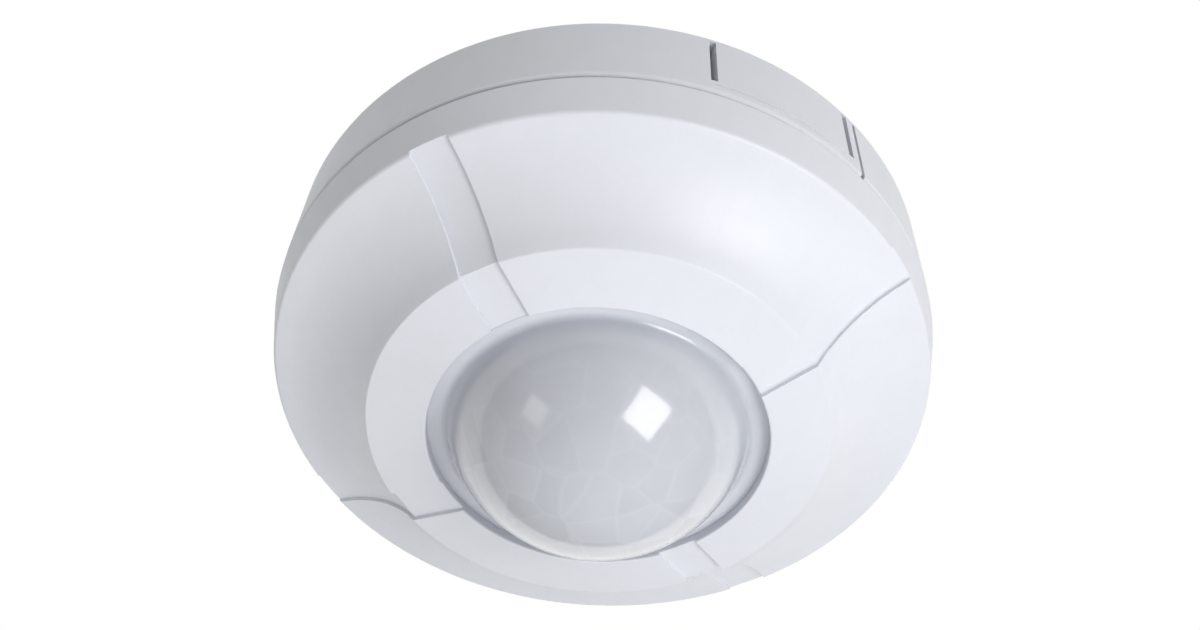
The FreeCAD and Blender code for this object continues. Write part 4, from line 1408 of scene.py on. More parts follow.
@dataclass
class Grommet:
    """The rubber grommet in the cable entry, with raised rings on its web."""

    bore: float = 3.5
    hub: float = 8.6
    edge: float = 12.7
    neck: float = 10.0
    back: float = 0.2
    plate_back: float = 1.0
    web_back: float = 1.4
    plate_front: float = 2.4
    front: float = 3.6
    ridges: tuple[float, ...] = (4.9, 6.3)
    crest: float = 1.1

    def make(self) -> None:
        """Model the grommet."""
        corners = [Corner(self.bore, self.web_back, 0.2)]
        for ridge in self.ridges:
            corners += [Corner(ridge - 0.3, self.web_back), Corner(ridge - 0.1, self.crest),
                        Corner(ridge + 0.1, self.crest), Corner(ridge + 0.3, self.web_back)]
        corners += [
            Corner(self.hub, self.web_back, 0.3), Corner(self.hub, self.back, 0.3),
            Corner(self.edge, self.back, 0.3), Corner(self.edge, self.plate_back),
            Corner(self.neck, self.plate_back), Corner(self.neck, self.plate_front),
            Corner(self.edge, self.plate_front), Corner(self.edge, self.front, 0.5),
            Corner(self.hub, self.front, 0.5), Corner(self.hub, self.plate_front, 0.3),
            Corner(self.bore, self.plate_front, 0.2),
        ]
        grommet = Workpiece.turned("entry_grommet", corners, 96).shaded(35.0)
        grommet.finished(Body.BASE, Slot.GROMMET, Finishes.grommet, "cable_grommet")


# ---------------------------------------------------------------- lens
@dataclass
class Lens:
    """The thin dome on its flange, smooth outside and faceted inside."""

    flange_radius: float = 29.2
    flange_back: float = 35.5
    seat_depth: float = 36.7
    foot_radius: float = 23.69
    foot_round: float = 1.2
    sphere: float = 24.704
    sphere_depth: float = 29.696
    skin: float = 0.9
    steps: int = 144
    runs: int = 24
    facets_round: int = 36
    facet_rings: int = 6

    def arc_point(self, radius: float, tilt: float) -> Corner:
        """A point of a sphere about the dome's centre, tilted from its axis."""
        angle = math.radians(tilt)
        return Corner(radius * math.sin(angle), self.sphere_depth + radius * math.cos(angle))

    def outside(self) -> Workpiece:
        """The smooth outer face with the flange.

        Returns:
            The piece.
        """
        top = math.degrees(math.acos((self.seat_depth - self.sphere_depth) / self.sphere))
        corners = [Corner(0.0, self.sphere_depth + self.sphere)]
        corners += [self.arc_point(self.sphere, top * step / self.runs)
                    for step in range(1, self.runs)]
        corners += [
            Corner(self.foot_radius, self.seat_depth, self.foot_round),
            Corner(self.flange_radius, self.seat_depth, 0.15),
            Corner(self.flange_radius, self.flange_back, 0.15),
            Corner(self.foot_radius, self.flange_back),
        ]
        return Workpiece.turned("lens_dome", corners, self.steps, closed=False)

    def inside(self) -> Workpiece:
        """The faceted inner face, in rings of flats.

        Returns:
            The inner face, turned towards the sensor.
        """
        inner = self.sphere - self.skin
        top = math.degrees(math.acos((self.flange_back - self.sphere_depth) / inner))
        corners = [Corner(0.0, self.sphere_depth + inner)]
        corners += [self.arc_point(inner, top * step / self.facet_rings)
                    for step in range(1, self.facet_rings + 1)]
        corners += [Corner(self.foot_radius, self.flange_back)]
        dome = Workpiece.turned("lens_inside", corners, self.facets_round, closed=False)
        with dome.editing():
            bpy.ops.mesh.select_all(action="SELECT")
            bpy.ops.mesh.flip_normals()
        return dome

    def make(self) -> None:
        """Model the lens."""
        inside = self.inside()
        lens = self.outside().shaded(50.0)
        lens.join(inside)
        lens.finished(Body.COVER, Slot.LENS, Finishes.lens, "fresnel_lens")


@dataclass
class Retainer:
    """The stepped ring that clamps the lens, and its three screws."""

    bore: float = 25.1
    web_radius: float = 29.2
    flange_radius: float = 34.0
    web_front: float = 35.5
    flange_front: float = 33.9
    back: float = 32.7
    screw_circle: float = 31.7
    azimuths: tuple[float, ...] = (45.0, 165.0, 285.0)

    def ring(self) -> None:
        """Model the ring."""
        ring = Workpiece.turned("retaining_ring", [
            Corner(self.bore, self.web_front, 0.2),
            Corner(self.web_radius, self.web_front),
            Corner(self.web_radius, self.flange_front),
            Corner(self.flange_radius, self.flange_front, 0.15),
            Corner(self.flange_radius, self.back, 0.3),
            Corner(self.flange_radius - 0.8, self.back),
            Corner(self.flange_radius - 1.0, self.back + 0.15),
            Corner(self.web_radius + 0.2, self.back + 0.15),
            Corner(self.web_radius, self.back),
            Corner(self.bore + 1.2, self.back),
            Corner(self.bore + 0.2, self.back + 0.6),
            Corner(self.bore, self.back + 0.8, 0.1),
        ], 128)
        ring.cut(*[Workpiece.barrel("hole", 1.2, polar(self.screw_circle, azimuth),
                                    (self.back - 1.0, self.flange_front + 1.0), 24)
                   for azimuth in self.azimuths])
        ring.soften(0.08, 1, 40.0).shaded(32.0)
        ring.finished(Body.COVER, Slot.RING, Finishes.ring, "lens_retainer")

    def screws(self) -> None:
        """Model the screws, whose heads face the ceiling."""
        model = PanScrew(1.8, 1.2, 1.0, 3.2, 0.7).make("retaining_screws").turned_by(180.0, 0)
        model.ringed(self.screw_circle, self.azimuths, self.back)
        model.finished(Body.COVER, Slot.STEEL, Finishes.steel, "retainer_screws")

    def make(self) -> None:
        """Model the ring and the screws."""
        self.ring()
        self.screws()


@dataclass
class PanScrew:
    """A pan-head screw that stands on z = 0 with its head below and a cross recess."""

    head_radius: float
    head_height: float
    shank_radius: float
    shank_length: float
    recess: float
    pitch: float = 0.55

    def make(self, name: str) -> Workpiece:
        """Model the screw with its head down and its shank up.

        Args:
            name: the piece's name.

        Returns:
            The screw.
        """
        height, radius = self.head_height, self.head_radius
        corners = [
            Corner(0.0, height),
            Corner(radius * 0.55, height * 0.97),
            Corner(radius * 0.86, height * 0.72),
            Corner(radius, height * 0.30),
            Corner(radius, 0.0, 0.08),
            Corner(self.shank_radius, 0.0),
        ]
        pitch = self.pitch
        turns = int((self.shank_length - 0.6) / pitch)
        for turn in range(turns):
            here = -0.2 - turn * pitch
            corners += [Corner(self.shank_radius * 0.80, here - pitch * 0.15),
                        Corner(self.shank_radius * 0.80, here - pitch * 0.35),
                        Corner(self.shank_radius, here - pitch * 0.75)]
        corners += [Corner(self.shank_radius * 0.7, -self.shank_length + 0.3),
                    Corner(0.0, -self.shank_length)]
        screw = Workpiece.turned(name, corners, 32, closed=False)
        span, width = radius * 0.62, radius * 0.17
        for across, along in ((span, width), (width, span)):
            screw.cut(Workpiece.block("recess", (-across, -along, -height - 0.2),
                                      (across, along, -height + self.recess)))
        return screw.soften(0.05, 1, 50.0).shaded(35.0)


# ---------------------------------------------------------------- circuit board
@dataclass
class CircuitBoard:
    """The board's print, pads and screws; the laminate is the CAD node itself."""

    front: float = BOARD_FRONT
    screw_circle: float = 38.0
    azimuths: tuple[float, ...] = (90.0, 210.0, 330.0)
    print_height: float = 0.03
    line: float = 0.22
    margin: float = 0.55
    fixing_circle: float = 35.0
    fixing_azimuths: tuple[float, ...] = (45.0, 225.0)
    outlined: tuple[str, ...] = (
        "relay", "film_capacitor", "rectifier", "controller", "terminal_housing",
        "time_adjuster_body", "light_adjuster_body", "mode_switch_body")
    ringed: tuple[str, ...] = ("status_lamp", "light_sensor", "fuse", "sensor_spacer")

    def frame_line(self, node: str) -> Workpiece:
        """A printed outline round a boxed component.

        Args:
            node: the component's CAD node.

        Returns:
            The outline.
        """
        low, high = node_box(node)
        grown = self.margin
        piece = Workpiece.block(f"print_{node}",
                                (low.x - grown, low.y - grown, -self.front - self.print_height),
                                (high.x + grown, high.y + grown, -self.front))
        inner = grown - self.line
        return piece.cut(Workpiece.block("inner", (low.x - inner, low.y - inner, -self.front - 1),
                                         (high.x + inner, high.y + inner, -self.front + 1)))

    def ring_line(self, centre: Point, radius: float, width: float, name: str) -> Workpiece:
        """A flat ring printed or plated on the board.

        Args:
            centre: its middle.
            radius: its inner radius.
            width: the width of the line.
            name: the piece's name.

        Returns:
            The ring.
        """
        return Workpiece.turned(name, [
            Corner(radius, self.front), Corner(radius + width, self.front),
            Corner(radius + width, self.front + self.print_height),
            Corner(radius, self.front + self.print_height)], 40, centre)

    def make(self) -> None:
        """Model the print, the pads and the screws, and dress the laminate."""
        dress("circuit_board", Finishes.board)
        prints = [self.frame_line(node) for node in self.outlined]
        for node in self.ringed:
            low, high = node_box(node)
            middle = (low + high) / 2
            prints.append(self.ring_line((middle.x, middle.y), (high.x - low.x) / 2 + 0.35,
                                         self.line, f"print_{node}"))
        first = prints[0].join(*prints[1:])
        first.thing.name = "board_legend"
        first.finished(Body.BASE, Slot.BOARD, Finishes.silk)
        pads = [self.ring_line(polar(self.screw_circle, azimuth), 1.6, 2.3, "pad")
                for azimuth in self.azimuths]
        pads += [self.ring_line(polar(self.fixing_circle, azimuth), 4.62, 0.8, "pad")
                 for azimuth in self.fixing_azimuths]
        first = pads[0].join(*pads[1:])
        first.thing.name = "board_pads"
        first.finished(Body.BASE, Slot.TIN, Finishes.tin)
        self.screws()

    def screws(self) -> None:
        """Model the three screws that hold the board."""
        model = PanScrew(2.8, 2.0, 1.25, 8.5, 0.9).make("board_fixings")
        model.ringed(self.screw_circle, self.azimuths, self.front)
        model.finished(Body.BASE, Slot.STEEL, Finishes.steel, "board_screws")


@dataclass
class InfraredSensor:
    """The sensor can with its window and leads, on a spacer."""

    board: float = BOARD_FRONT
    seat: float = 25.496
    top: float = 29.696
    can_radius: float = 4.1
    rim_radius: float = 4.6
    rim_height: float = 0.6
    window_x: float = 2.6
    window_y: float = 2.3
    window_gap: float = 0.03

    def make(self) -> None:
        """Model the spacer, the can and the window."""
        spacer = Workpiece.turned("sensor_stand", [
            Corner(3.4, self.board, 0.2), Corner(6.5, self.board, 0.3),
            Corner(6.5, self.board + 0.9), Corner(6.1, self.board + 1.3),
            Corner(6.1, self.seat - 1.3), Corner(6.5, self.seat - 0.9),
            Corner(6.5, self.seat, 0.3), Corner(3.4, self.seat, 0.2)], 64)
        spacer.cut(*[Workpiece.block("notch", (5.4, -0.9, -self.seat - 0.1),
                                     (7.0, 0.9, -self.board - 2.0)).turned_by(angle)
                     for angle in (45.0, 165.0, 285.0)])
        spacer.soften(0.08, 1, 50.0).shaded(35.0)
        spacer.finished(Body.BASE, Slot.SPACER, Finishes.spacer, "sensor_spacer")
        can = Workpiece.turned("sensor_can_shell", [
            Corner(0.0, self.seat), Corner(self.rim_radius, self.seat, 0.12),
            Corner(self.rim_radius, self.seat + self.rim_height, 0.2),
            Corner(self.can_radius, self.seat + self.rim_height, 0.15),
            Corner(self.can_radius, self.top, 0.45), Corner(0.0, self.top)], 96, closed=False)
        tab = Workpiece.block("tab", (4.0, -0.45, -self.seat - 0.5), (4.58, 0.45, -self.seat))
        can.weld(tab.turned_by(45.0))
        x, y = self.window_x, self.window_y
        can.cut(Workpiece.block("opening", (-x, -y, -self.top - 1.0), (x, y, -self.top + 0.5)))
        can.soften(0.06, 2, 45.0).shaded(35.0)
        can.finished(Body.BASE, Slot.CAN, Finishes.can, "sensor_can")
        x, y = x - self.window_gap, y - self.window_gap
        window = Workpiece.block("sensor_filter", (-x, -y, -self.top + 0.06),
                                 (x, y, -self.top + 0.5))
        window.soften(0.10, 2).shaded()
        window.finished(Body.BASE, Slot.FILTER, Finishes.window, "sensor_window")
        dress("sensor_leads", Finishes.tin)


@dataclass
class Lamp:
    """A small domed part: status lamp or light sensor."""

    name: str
    node: str
    radius: float
    foot_radius: float
    height: float
    slot: Slot
    finish: Finish
    board: float = BOARD_FRONT

    def make(self) -> None:
        """Model the flanged foot, the barrel and the dome, with a flat on the foot."""
        low, high = node_box(self.node)
        middle = (low + high) / 2
        top = self.board + self.height
        shoulder = top - self.radius
        corners = [Corner(0.0, self.board), Corner(self.foot_radius, self.board, 0.1),
                   Corner(self.foot_radius, self.board + 1.0, 0.15),
                   Corner(self.radius, self.board + 1.0)]
        corners += [Corner(self.radius * math.cos(angle), shoulder + self.radius * math.sin(angle))
                    for angle in (math.radians(9 * step) for step in range(10))]
        corners.append(Corner(0.0, top))
        lamp = Workpiece.turned(self.name, corners, 48, closed=False)
        lamp.cut(Workpiece.block("flat", (-self.foot_radius - 1, -self.foot_radius - 1,
                                          -self.board - 1.2),
                                 (-self.radius - 0.05, self.foot_radius + 1, -self.board + 1)))
        lamp.shaded(35.0).moved(middle.x + (high.x - low.x) / 2 - self.foot_radius, middle.y)
        lamp.finished(Body.BASE, self.slot, self.finish, self.node)


@dataclass
class TurnedPart:
    """A capacitor or fuse that stands on the board."""

    name: str
    centre: Point
    radius: float
    height: float
    slot: Slot
    finish: Finish
    board: float = BOARD_FRONT
    groove: float = 0.0
    metal_top: bool = False

    def make(self, *nodes: str) -> None:
        """Model the barrel, with a crimp groove and a scored metal end where it has them.

        Args:
            nodes: the CAD nodes that it stands for.
        """
        top = self.board + self.height
        corners = [Corner(0.0, self.board), Corner(self.radius, self.board, 0.35)]
        if self.groove:
            low = self.board + 1.6
            corners += [Corner(self.radius, low - 0.5), Corner(self.radius - self.groove, low),
                        Corner(self.radius, low + 0.5)]
        corners.append(Corner(self.radius, top, 0.5))
        if self.metal_top:
            corners += [Corner(self.radius - 0.8, top), Corner(self.radius - 0.8, top - 0.18)]
            corners.append(Corner(0.0, top - 0.18))
        else:
            corners += [Corner(self.radius * 0.72, top), Corner(self.radius * 0.68, top - 0.15),
                        Corner(0.0, top - 0.15)]
        barrel = Workpiece.turned(self.name, corners, 64, self.centre, closed=False)
        barrel.shaded(35.0).finished(Body.BASE, self.slot, self.finish, *nodes)
        if self.metal_top:
            self.end_disc(top)

    def end_disc(self, top: float) -> None:
        """Model the aluminium end with its scored cross.

        Args:
            top: the depth of the part's end.
        """
        disc = Workpiece.turned(f"{self.name}_end", [
            Corner(0.0, top - 0.17), Corner(self.radius - 0.85, top - 0.17),
            Corner(self.radius - 0.85, top - 0.06, 0.04), Corner(0.0, top - 0.06)], 48,
            closed=False)
        span = self.radius - 1.7
        for across, along in ((span, 0.13), (0.13, span)):
            disc.cut(Workpiece.block("score", (-across, -along, -top - 1.0),
                                     (across, along, -top + 0.11)))
        disc.shaded(30.0).moved(*self.centre)
        disc.finished(Body.BASE, Slot.CAN, Finishes.aluminium)


@dataclass
class Varistor:
    """A dipped disc on edge, with its coating run down onto the leads."""

    centre: Point = (9.0, 28.0)
    radius: float = 4.6
    thickness: float = 3.8
    board: float = BOARD_FRONT
    lift: float = 1.0
    lead_radius: float = 0.3
    spacing: float = 5.0

    def make(self) -> None:
        """Model the disc and its leads."""
        half = self.thickness / 2
        disc = Workpiece.turned("varistor_disc", [
            Corner(0.0, -half * 0.86), Corner(self.radius * 0.6, -half * 0.98),
            Corner(self.radius, -half * 0.86, 1.1), Corner(self.radius, half * 0.86, 1.1),
            Corner(self.radius * 0.6, half * 0.98), Corner(0.0, half * 0.86)], 48, closed=False)
        middle = -(self.board + self.lift + self.radius)
        disc.turned_by(90.0, 0).moved(*self.centre, middle)
        runs = []
        for side in (-1, 1):
            run = Workpiece.turned("run", [
                Corner(0.0, 0.0), Corner(0.75, 0.0, 0.2), Corner(0.35, -2.4, 0.1),
                Corner(0.0, -2.6)], 20, closed=False)
            foot = (self.centre[0] + side * self.spacing / 2, self.centre[1])
            runs.append(run.turned_by(180.0, 0).moved(*foot, middle + 0.9))
        disc.weld(*[run.copied("coat") for run in runs])
        for run in runs:
            bpy.data.objects.remove(run.thing)
        disc.shaded(60.0).finished(Body.BASE, Slot.VARISTOR, Finishes.varistor, "varistor")
        leads = [Workpiece.barrel("varistor_leads", self.lead_radius,
                                  (self.centre[0] + side * self.spacing / 2, self.centre[1]),
                                  (self.board, self.board + self.lift + 1.5), 16)
                 for side in (-1, 1)]
        leads[0].join(leads[1]).soften(0.05, 1).shaded()
        leads[0].finished(Body.BASE, Slot.TIN, Finishes.tin)


@dataclass
class BoxedPart:
    """A moulded block, cut to a node's box, with rounded edges and a detailed front face."""

    name: str
    node: str
    slot: Slot
    finish: Finish
    rounding: float = 0.6
    inset: float = 0.9
    sink: float = 0.12
    pip: Point | None = None

    def make(self) -> None:
        """Model the block."""
        low, high = node_box(self.node)
        block = Workpiece.block(self.name, tuple(low), tuple(high))
        block.soften(self.rounding, 4)
        block.inset(lambda middle, normal: normal.z < -0.99, self.inset, self.sink)
        if self.pip:
            x, y = (low.x + self.pip[0], low.y + self.pip[1])
            block.cut(Workpiece.barrel("pip", 0.55, (x, y), (-low.z - 0.35, -low.z + 1.0), 24))
        block.shaded(32.0).finished(Body.BASE, self.slot, self.finish, self.node)


@dataclass
class Controller:
    """The microcontroller and its gull-wing leads."""

    centre: Point = (0.0, 13.2)
    length: float = 10.0
    width: float = 4.0
    height: float = 1.8
    board: float = BOARD_FRONT
    pitch: float = 1.27
    pins: int = 7

    def body(self) -> None:
        """Model the epoxy body with softened edges and a dimple by its first lead."""
        x, y = self.centre
        half = (self.length / 2, self.width / 2)
        top = -(self.board + self.height)
        body = Workpiece.block("controller_body", (x - half[0], y - half[1], top),
                               (x + half[0], y + half[1], -self.board - 0.15))
        with body.editing():
            body.pick(lambda middle, normal: normal.z < -0.9)
            bpy.ops.mesh.extrude_region_move(TRANSFORM_OT_translate={"value": (0, 0, 0)})
            bpy.ops.transform.resize(value=(0.94, 0.88, 1.0))
        body.soften(0.09, 2, 20.0)
        body.cut(Workpiece.barrel("dimple", 0.45, (x - half[0] + 1.1, y - half[1] + 1.0),
                                  (-top - 0.12, -top + 1.0), 24))
        body.shaded(30.0).finished(Body.BASE, Slot.EPOXY, Finishes.epoxy, "controller")

    def leads(self) -> None:
        """Model one bent lead and copy it down both sides."""
        x, y = self.centre
        points = [(1.9, 16.35), (2.18, 16.35), (2.30, 16.25), (2.42, 15.82), (2.98, 15.82),
                  (2.98, 15.62), (2.30, 15.62), (2.14, 16.15), (1.9, 16.15)]
        model = Workpiece.slab("controller_pins", points, 0.4).turned_by(90.0)
        model.soften(0.03, 1, 50.0)
        offsets = [(number - (self.pins - 1) / 2) * self.pitch for number in range(self.pins)]
        copies = []
        for side in (0.0, 180.0):
            for offset in offsets:
                copy = model.copied("pin").turned_by(side)
                copies.append(copy.moved(x + offset, y))
        bpy.data.objects.remove(model.thing)
        pins = copies[0].join(*copies[1:]).shaded(30.0)
        pins.thing.name = "controller_pins"
        pins.finished(Body.BASE, Slot.TIN, Finishes.tin, "controller_leads")

    def make(self) -> None:
        """Model the body and the leads."""
        self.body()
        self.leads()


@dataclass
class Chips:
    """The chip components, each with two tinned ends."""

    board: float = BOARD_FRONT
    row: tuple[tuple[float, float], ...] = tuple((-7.6 + 2.6 * step, 19.4) for step in range(6))
    column: tuple[tuple[float, float], ...] = tuple((-17.6, -8.0 + 2.6 * step)
                                                     for step in range(5))
    length: float = 2.0
    width: float = 1.25
    height: float = 0.6
    end: float = 0.4

    def make(self) -> None:
        """Model one chip and its ends and copy them to every place."""
        half, side = self.length / 2, self.width / 2
        low = -(self.board + self.height)
        chip = Workpiece.block("chip", (-half + 0.35, -side + 0.03, low + 0.03),
                               (half - 0.35, side - 0.03, -self.board - 0.03)).soften(0.05, 1)
        ends = Workpiece.block("ends", (-half, -side, low), (-half + self.end, side, -self.board))
        other = ends.copied("other").moved(self.length - self.end, 0.0)
        ends.join(other).soften(0.07, 2)
        places = [(place, 90.0) for place in self.row] + [(place, 0.0) for place in self.column]
        for model, name, slot, finish, nodes in (
                (chip, "chip_bodies", Slot.CERAMIC, Finishes.ceramic, ("chip_components",)),
                (ends, "chip_ends", Slot.TIN, Finishes.tin, ())):
            copies = [model.copied("copy").turned_by(turn).moved(*place)
                      for place, turn in places]
            bpy.data.objects.remove(model.thing)
            group = copies[0].join(*copies[1:]).shaded(30.0)
            group.thing.name = name
            group.finished(Body.BASE, slot, finish, *nodes)


@dataclass
class SoftenedPart:
    """A part whose CAD shape is right and only needs its edges broken."""

    name: str
    node: str
    body: Body
    slot: Slot
    finish: Finish
    width: float = 0.12
    segments: int = 2

    def make(self) -> None:
        """Copy the node's mesh, break its edges and finish it."""
        piece = Workpiece.from_node(self.name, self.node)
        piece.soften(self.width, self.segments, 40.0).shaded(35.0)
        piece.finished(self.body, self.slot, self.finish, self.node)


@dataclass
class Controls:
    """Terminals, adjusters and switches."""

    sliders: int = 4

    def parts(self) -> list[SoftenedPart]:
        """Every part with broken edges.

        Returns:
            The parts, in the order that they are made.
        """
        base = Body.BASE
        listed = [
            SoftenedPart("terminal_block", "terminal_housing", base, Slot.TERMINAL,
                         Finishes.terminal, 0.18),
            SoftenedPart("terminal_cages", "terminal_clamps", base, Slot.CLAMP, Finishes.clamp,
                         0.08),
            SoftenedPart("terminal_slot_screws", "terminal_screws", base, Slot.STEEL,
                         Finishes.steel, 0.10),
            SoftenedPart("time_trimmer", "time_adjuster_body", base, Slot.ADJUSTER,
                         Finishes.adjuster, 0.20, 3),
            SoftenedPart("light_trimmer", "light_adjuster_body", base, Slot.ADJUSTER,
                         Finishes.adjuster, 0.20, 3),
            SoftenedPart("time_knob", "time_adjuster_rotor", Body.TIME_ROTOR, Slot.ROTOR,
                         Finishes.rotor, 0.10),
            SoftenedPart("light_knob", "light_adjuster_rotor", Body.LIGHT_ROTOR,
                         Slot.ROTOR, Finishes.rotor, 0.10),
            SoftenedPart("mode_switch_case", "mode_switch_body", base, Slot.SWITCH,
                         Finishes.switch, 0.12),
            SoftenedPart("tamper_case", "tamper_switch_body", base, Slot.SWITCH_BLACK,
                         Finishes.switch_black, 0.18, 3),
            SoftenedPart("bridge_rectifier", "rectifier", base, Slot.EPOXY, Finishes.epoxy,
                         0.12),
        ]
        listed += [SoftenedPart(f"slider_cap_{number}", f"mode_slider_{number}",
                                Body(f"mode_slider_{number}"), Slot.ROTOR, Finishes.rotor, 0.12)
                   for number in range(1, self.sliders + 1)]
        return listed

    def plunger(self) -> None:
        """Model the tamper switch's plunger with a domed end."""
        low, high = node_box("tamper_plunger")
        middle = (low + high) / 2
        radius = (high.x - low.x) / 2
        plunger = Workpiece.turned("tamper_button", [
            Corner(0.0, -high.z), Corner(radius, -high.z, 0.1), Corner(radius, -low.z, 0.5),
            Corner(0.0, -low.z)], 40, (middle.x, middle.y), closed=False)
        plunger.shaded(40.0).finished(Body.PLUNGER, Slot.PLUNGER, Finishes.plunger,
                                      "tamper_plunger")

    def make(self) -> None:
        """Model every control."""
        for part in self.parts():
            part.make()
        self.plunger()


@dataclass
class PowerParts:
    """Relay, capacitors, varistor and fuse."""

    def make(self) -> None:
        """Model each of them."""
        BoxedPart("relay_case", "relay", Slot.RELAY, Finishes.relay, 0.6, 1.0, 0.15,
                  (2.4, 2.4)).make()
        BoxedPart("film_capacitor_case", "film_capacitor", Slot.FILM, Finishes.film, 0.5, 0.5,
                  0.10).make()
        TurnedPart("large_capacitor", (-27.5, 12.5), 5.0, 12.5, Slot.SLEEVE,
                   Finishes.large_sleeve, groove=0.35, metal_top=True).make(
                       "smoothing_capacitors")
        TurnedPart("small_capacitor", (-28.5, 1.5), 3.15, 11.0, Slot.SLEEVE,
                   Finishes.small_sleeve, groove=0.28, metal_top=True).make()
        TurnedPart("fuse_case", (12.2, 18.6), 4.2, 7.7, Slot.FUSE, Finishes.fuse).make("fuse")
        Varistor().make()


# ---------------------------------------------------------------- stage
@dataclass
class SoftBox:
    """A square lamp that faces the sensor."""

    name: str
    direction: Triple
    distance: float
    size: float
    radiance: float
    roll: float = 0.0
    mirrored: bool = False
    colour: Triple = (1.0, 1.0, 1.0)

    def make(self, target: Vector) -> None:
        """Place the lamp.

        Args:
            target: the point that the lamp faces, in metres.
        """
        light = bpy.data.lights.new(self.name, "AREA")
        light.shape = "SQUARE"
        light.size = self.size
        light.energy = self.radiance * math.pi * self.size ** 2
        light.color = self.colour
        lamp = bpy.data.objects.new(self.name, light)
        toward = Vector(self.direction).normalized()
        turn = toward.to_track_quat("Z", "Y").to_matrix() @ Matrix.Rotation(
            math.radians(self.roll), 3, "Z")
        lamp.matrix_world = Matrix.Translation(target + toward * self.distance) @ turn.to_4x4()
        lamp.visible_camera = False
        lamp.visible_glossy = self.mirrored
        bpy.context.scene.collection.objects.link(lamp)


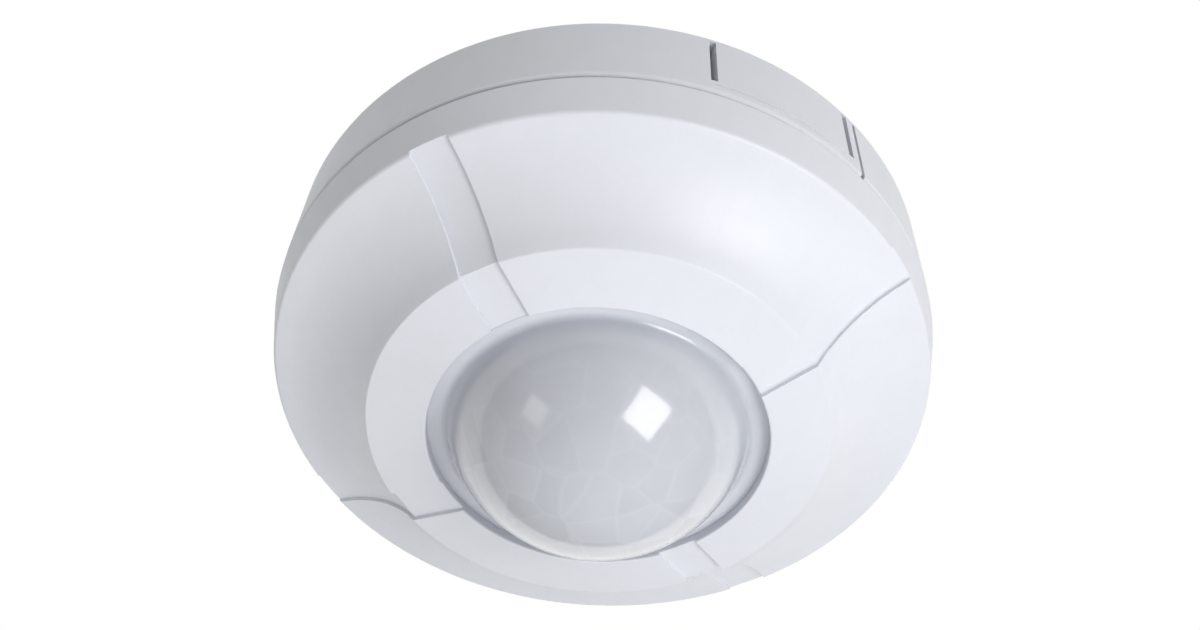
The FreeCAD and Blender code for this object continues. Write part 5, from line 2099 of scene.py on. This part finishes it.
@dataclass
class Stage:
    """Camera, lamps, surroundings and floor."""

    eye: Triple = (0.12162, -0.19928, -0.28808)
    right: Triple = (0.87365565, 0.48515049, 0.03680764)
    up: Triple = (0.35252268, -0.68332824, 0.63936709)
    back: Triple = (0.33534096, -0.54561114, -0.76802013)
    focal_length: float = 66.4
    sensor: float = 36.0
    floor_height: float = -0.9
    floor_size: float = 40.0
    floor_glow: float = 0.74
    surroundings: float = 0.26
    target: Triple = (0.0, 0.0, -0.035)
    lamps: list[SoftBox] = field(default_factory=lambda: [
        SoftBox("key", (0.754, -0.140, -0.641), 0.62, 0.30, 6.4, 0.0, True),
        SoftBox("window", (-0.417, -0.708, -0.570), 0.70, 0.20, 1.5, 20.0, True),
        SoftBox("low", (-0.114, 0.278, -0.954), 0.70, 0.40, 2.0),
        SoftBox("low_left", (-0.674, -0.175, -0.717), 0.70, 0.40, 1.4),
        SoftBox("low_right", (0.550, 0.504, -0.666), 0.70, 0.40, 2.3),
        SoftBox("high", (0.330, -0.820, 0.440), 0.70, 0.40, 1.1),
        SoftBox("high_right", (0.968, -0.315, 0.063), 0.70, 0.40, 1.3),
        SoftBox("behind", (-0.335, 0.546, 0.768), 0.70, 0.40, 2.6),
    ])

    def camera(self) -> None:
        """Place the camera."""
        camera = bpy.data.cameras.new("camera")
        camera.sensor_width = self.sensor
        camera.lens = self.focal_length
        camera.clip_start = 0.01
        holder = bpy.data.objects.new("camera", camera)
        turn = Matrix((self.right, self.up, self.back)).transposed()
        holder.matrix_world = Matrix.Translation(self.eye) @ turn.to_4x4()
        bpy.context.scene.collection.objects.link(holder)
        bpy.context.scene.camera = holder

    def world(self) -> None:
        """White to look at, and an even plain light from everywhere."""
        world = bpy.data.worlds.new("surroundings")
        bpy.context.scene.world = world
        world.use_nodes = True
        graph = Graph(world.node_tree)
        seen = graph.add("ShaderNodeLightPath", {}, {}, "Is Camera Ray")
        outputs = seen.socket.node.outputs
        seen = seen.most(Signal(graph, outputs["Is Glossy Ray"]))
        seen = seen.most(Signal(graph, outputs["Is Transmission Ray"]))
        strength = seen * (1.0 - self.surroundings) + self.surroundings
        graph.add_output("ShaderNodeOutputWorld", graph.add(
            "ShaderNodeBackground", {}, {"Color": (1.0, 1.0, 1.0, 1.0), "Strength": strength}))

    def floor(self) -> None:
        """The pale floor, which also glows a little to the camera."""
        deselect_all()
        bpy.ops.mesh.primitive_plane_add(size=self.floor_size,
                                         location=(0.0, 0.0, self.floor_height))
        floor = Workpiece(bpy.context.object)
        floor.thing.name = "floor"
        floor.settle()
        with floor.editing():
            bpy.ops.mesh.select_all(action="SELECT")
            bpy.ops.mesh.subdivide(number_cuts=7)
        material = bpy.data.materials.new("pale_floor")
        material.use_nodes = True
        graph = Graph(material.node_tree)
        cloud = graph.noise(graph.place(), 0.004, 3.0)
        colour = graph.blend(cloud, (0.86, 0.86, 0.86), (0.92, 0.92, 0.92))
        diffuse = graph.add("ShaderNodeBsdfDiffuse", {}, {"Color": colour})
        seen = graph.add("ShaderNodeLightPath", {}, {}, "Is Camera Ray")
        glow = graph.add("ShaderNodeEmission", {}, {"Color": (1, 1, 1, 1),
                                                    "Strength": seen * self.floor_glow})
        graph.add_output("ShaderNodeOutputMaterial",
                         graph.add("ShaderNodeAddShader", {}, {0: diffuse, 1: glow}))
        floor.thing.data.materials.append(material)

    def make(self) -> None:
        """Set the stage."""
        self.camera()
        self.world()
        self.floor()
        for lamp in self.lamps:
            lamp.make(Vector(self.target))
        bpy.context.scene.view_settings.view_transform = "Standard"


@dataclass
class MotionSensor:
    """The whole sensor."""

    cover: Cover = field(default_factory=Cover)
    base: Base = field(default_factory=Base)
    grommet: Grommet = field(default_factory=Grommet)
    lens: Lens = field(default_factory=Lens)
    retainer: Retainer = field(default_factory=Retainer)
    board: CircuitBoard = field(default_factory=CircuitBoard)
    sensor: InfraredSensor = field(default_factory=InfraredSensor)
    power: PowerParts = field(default_factory=PowerParts)
    controller: Controller = field(default_factory=Controller)
    chips: Chips = field(default_factory=Chips)
    controls: Controls = field(default_factory=Controls)
    lamp: Lamp = field(default_factory=lambda: Lamp(
        "status_lamp_body", "status_lamp", 1.5, 1.9, 5.0, Slot.LAMP, Finishes.lamp))
    photocell: Lamp = field(default_factory=lambda: Lamp(
        "light_sensor_body", "light_sensor", 2.5, 2.9, 4.0, Slot.PHOTOCELL,
        Finishes.photocell))

    def make(self) -> None:
        """Model every sub-assembly in order."""
        for assembly in vars(self).values():
            log.info("-- %s", type(assembly).__name__)
            assembly.make()


def main() -> None:
    """Build the sensor and its stage."""
    logging.basicConfig(level=logging.INFO, format="%(message)s")
    MotionSensor().make()
    Stage().make()
    deselect_all()


if __name__ == "__main__":
    main()
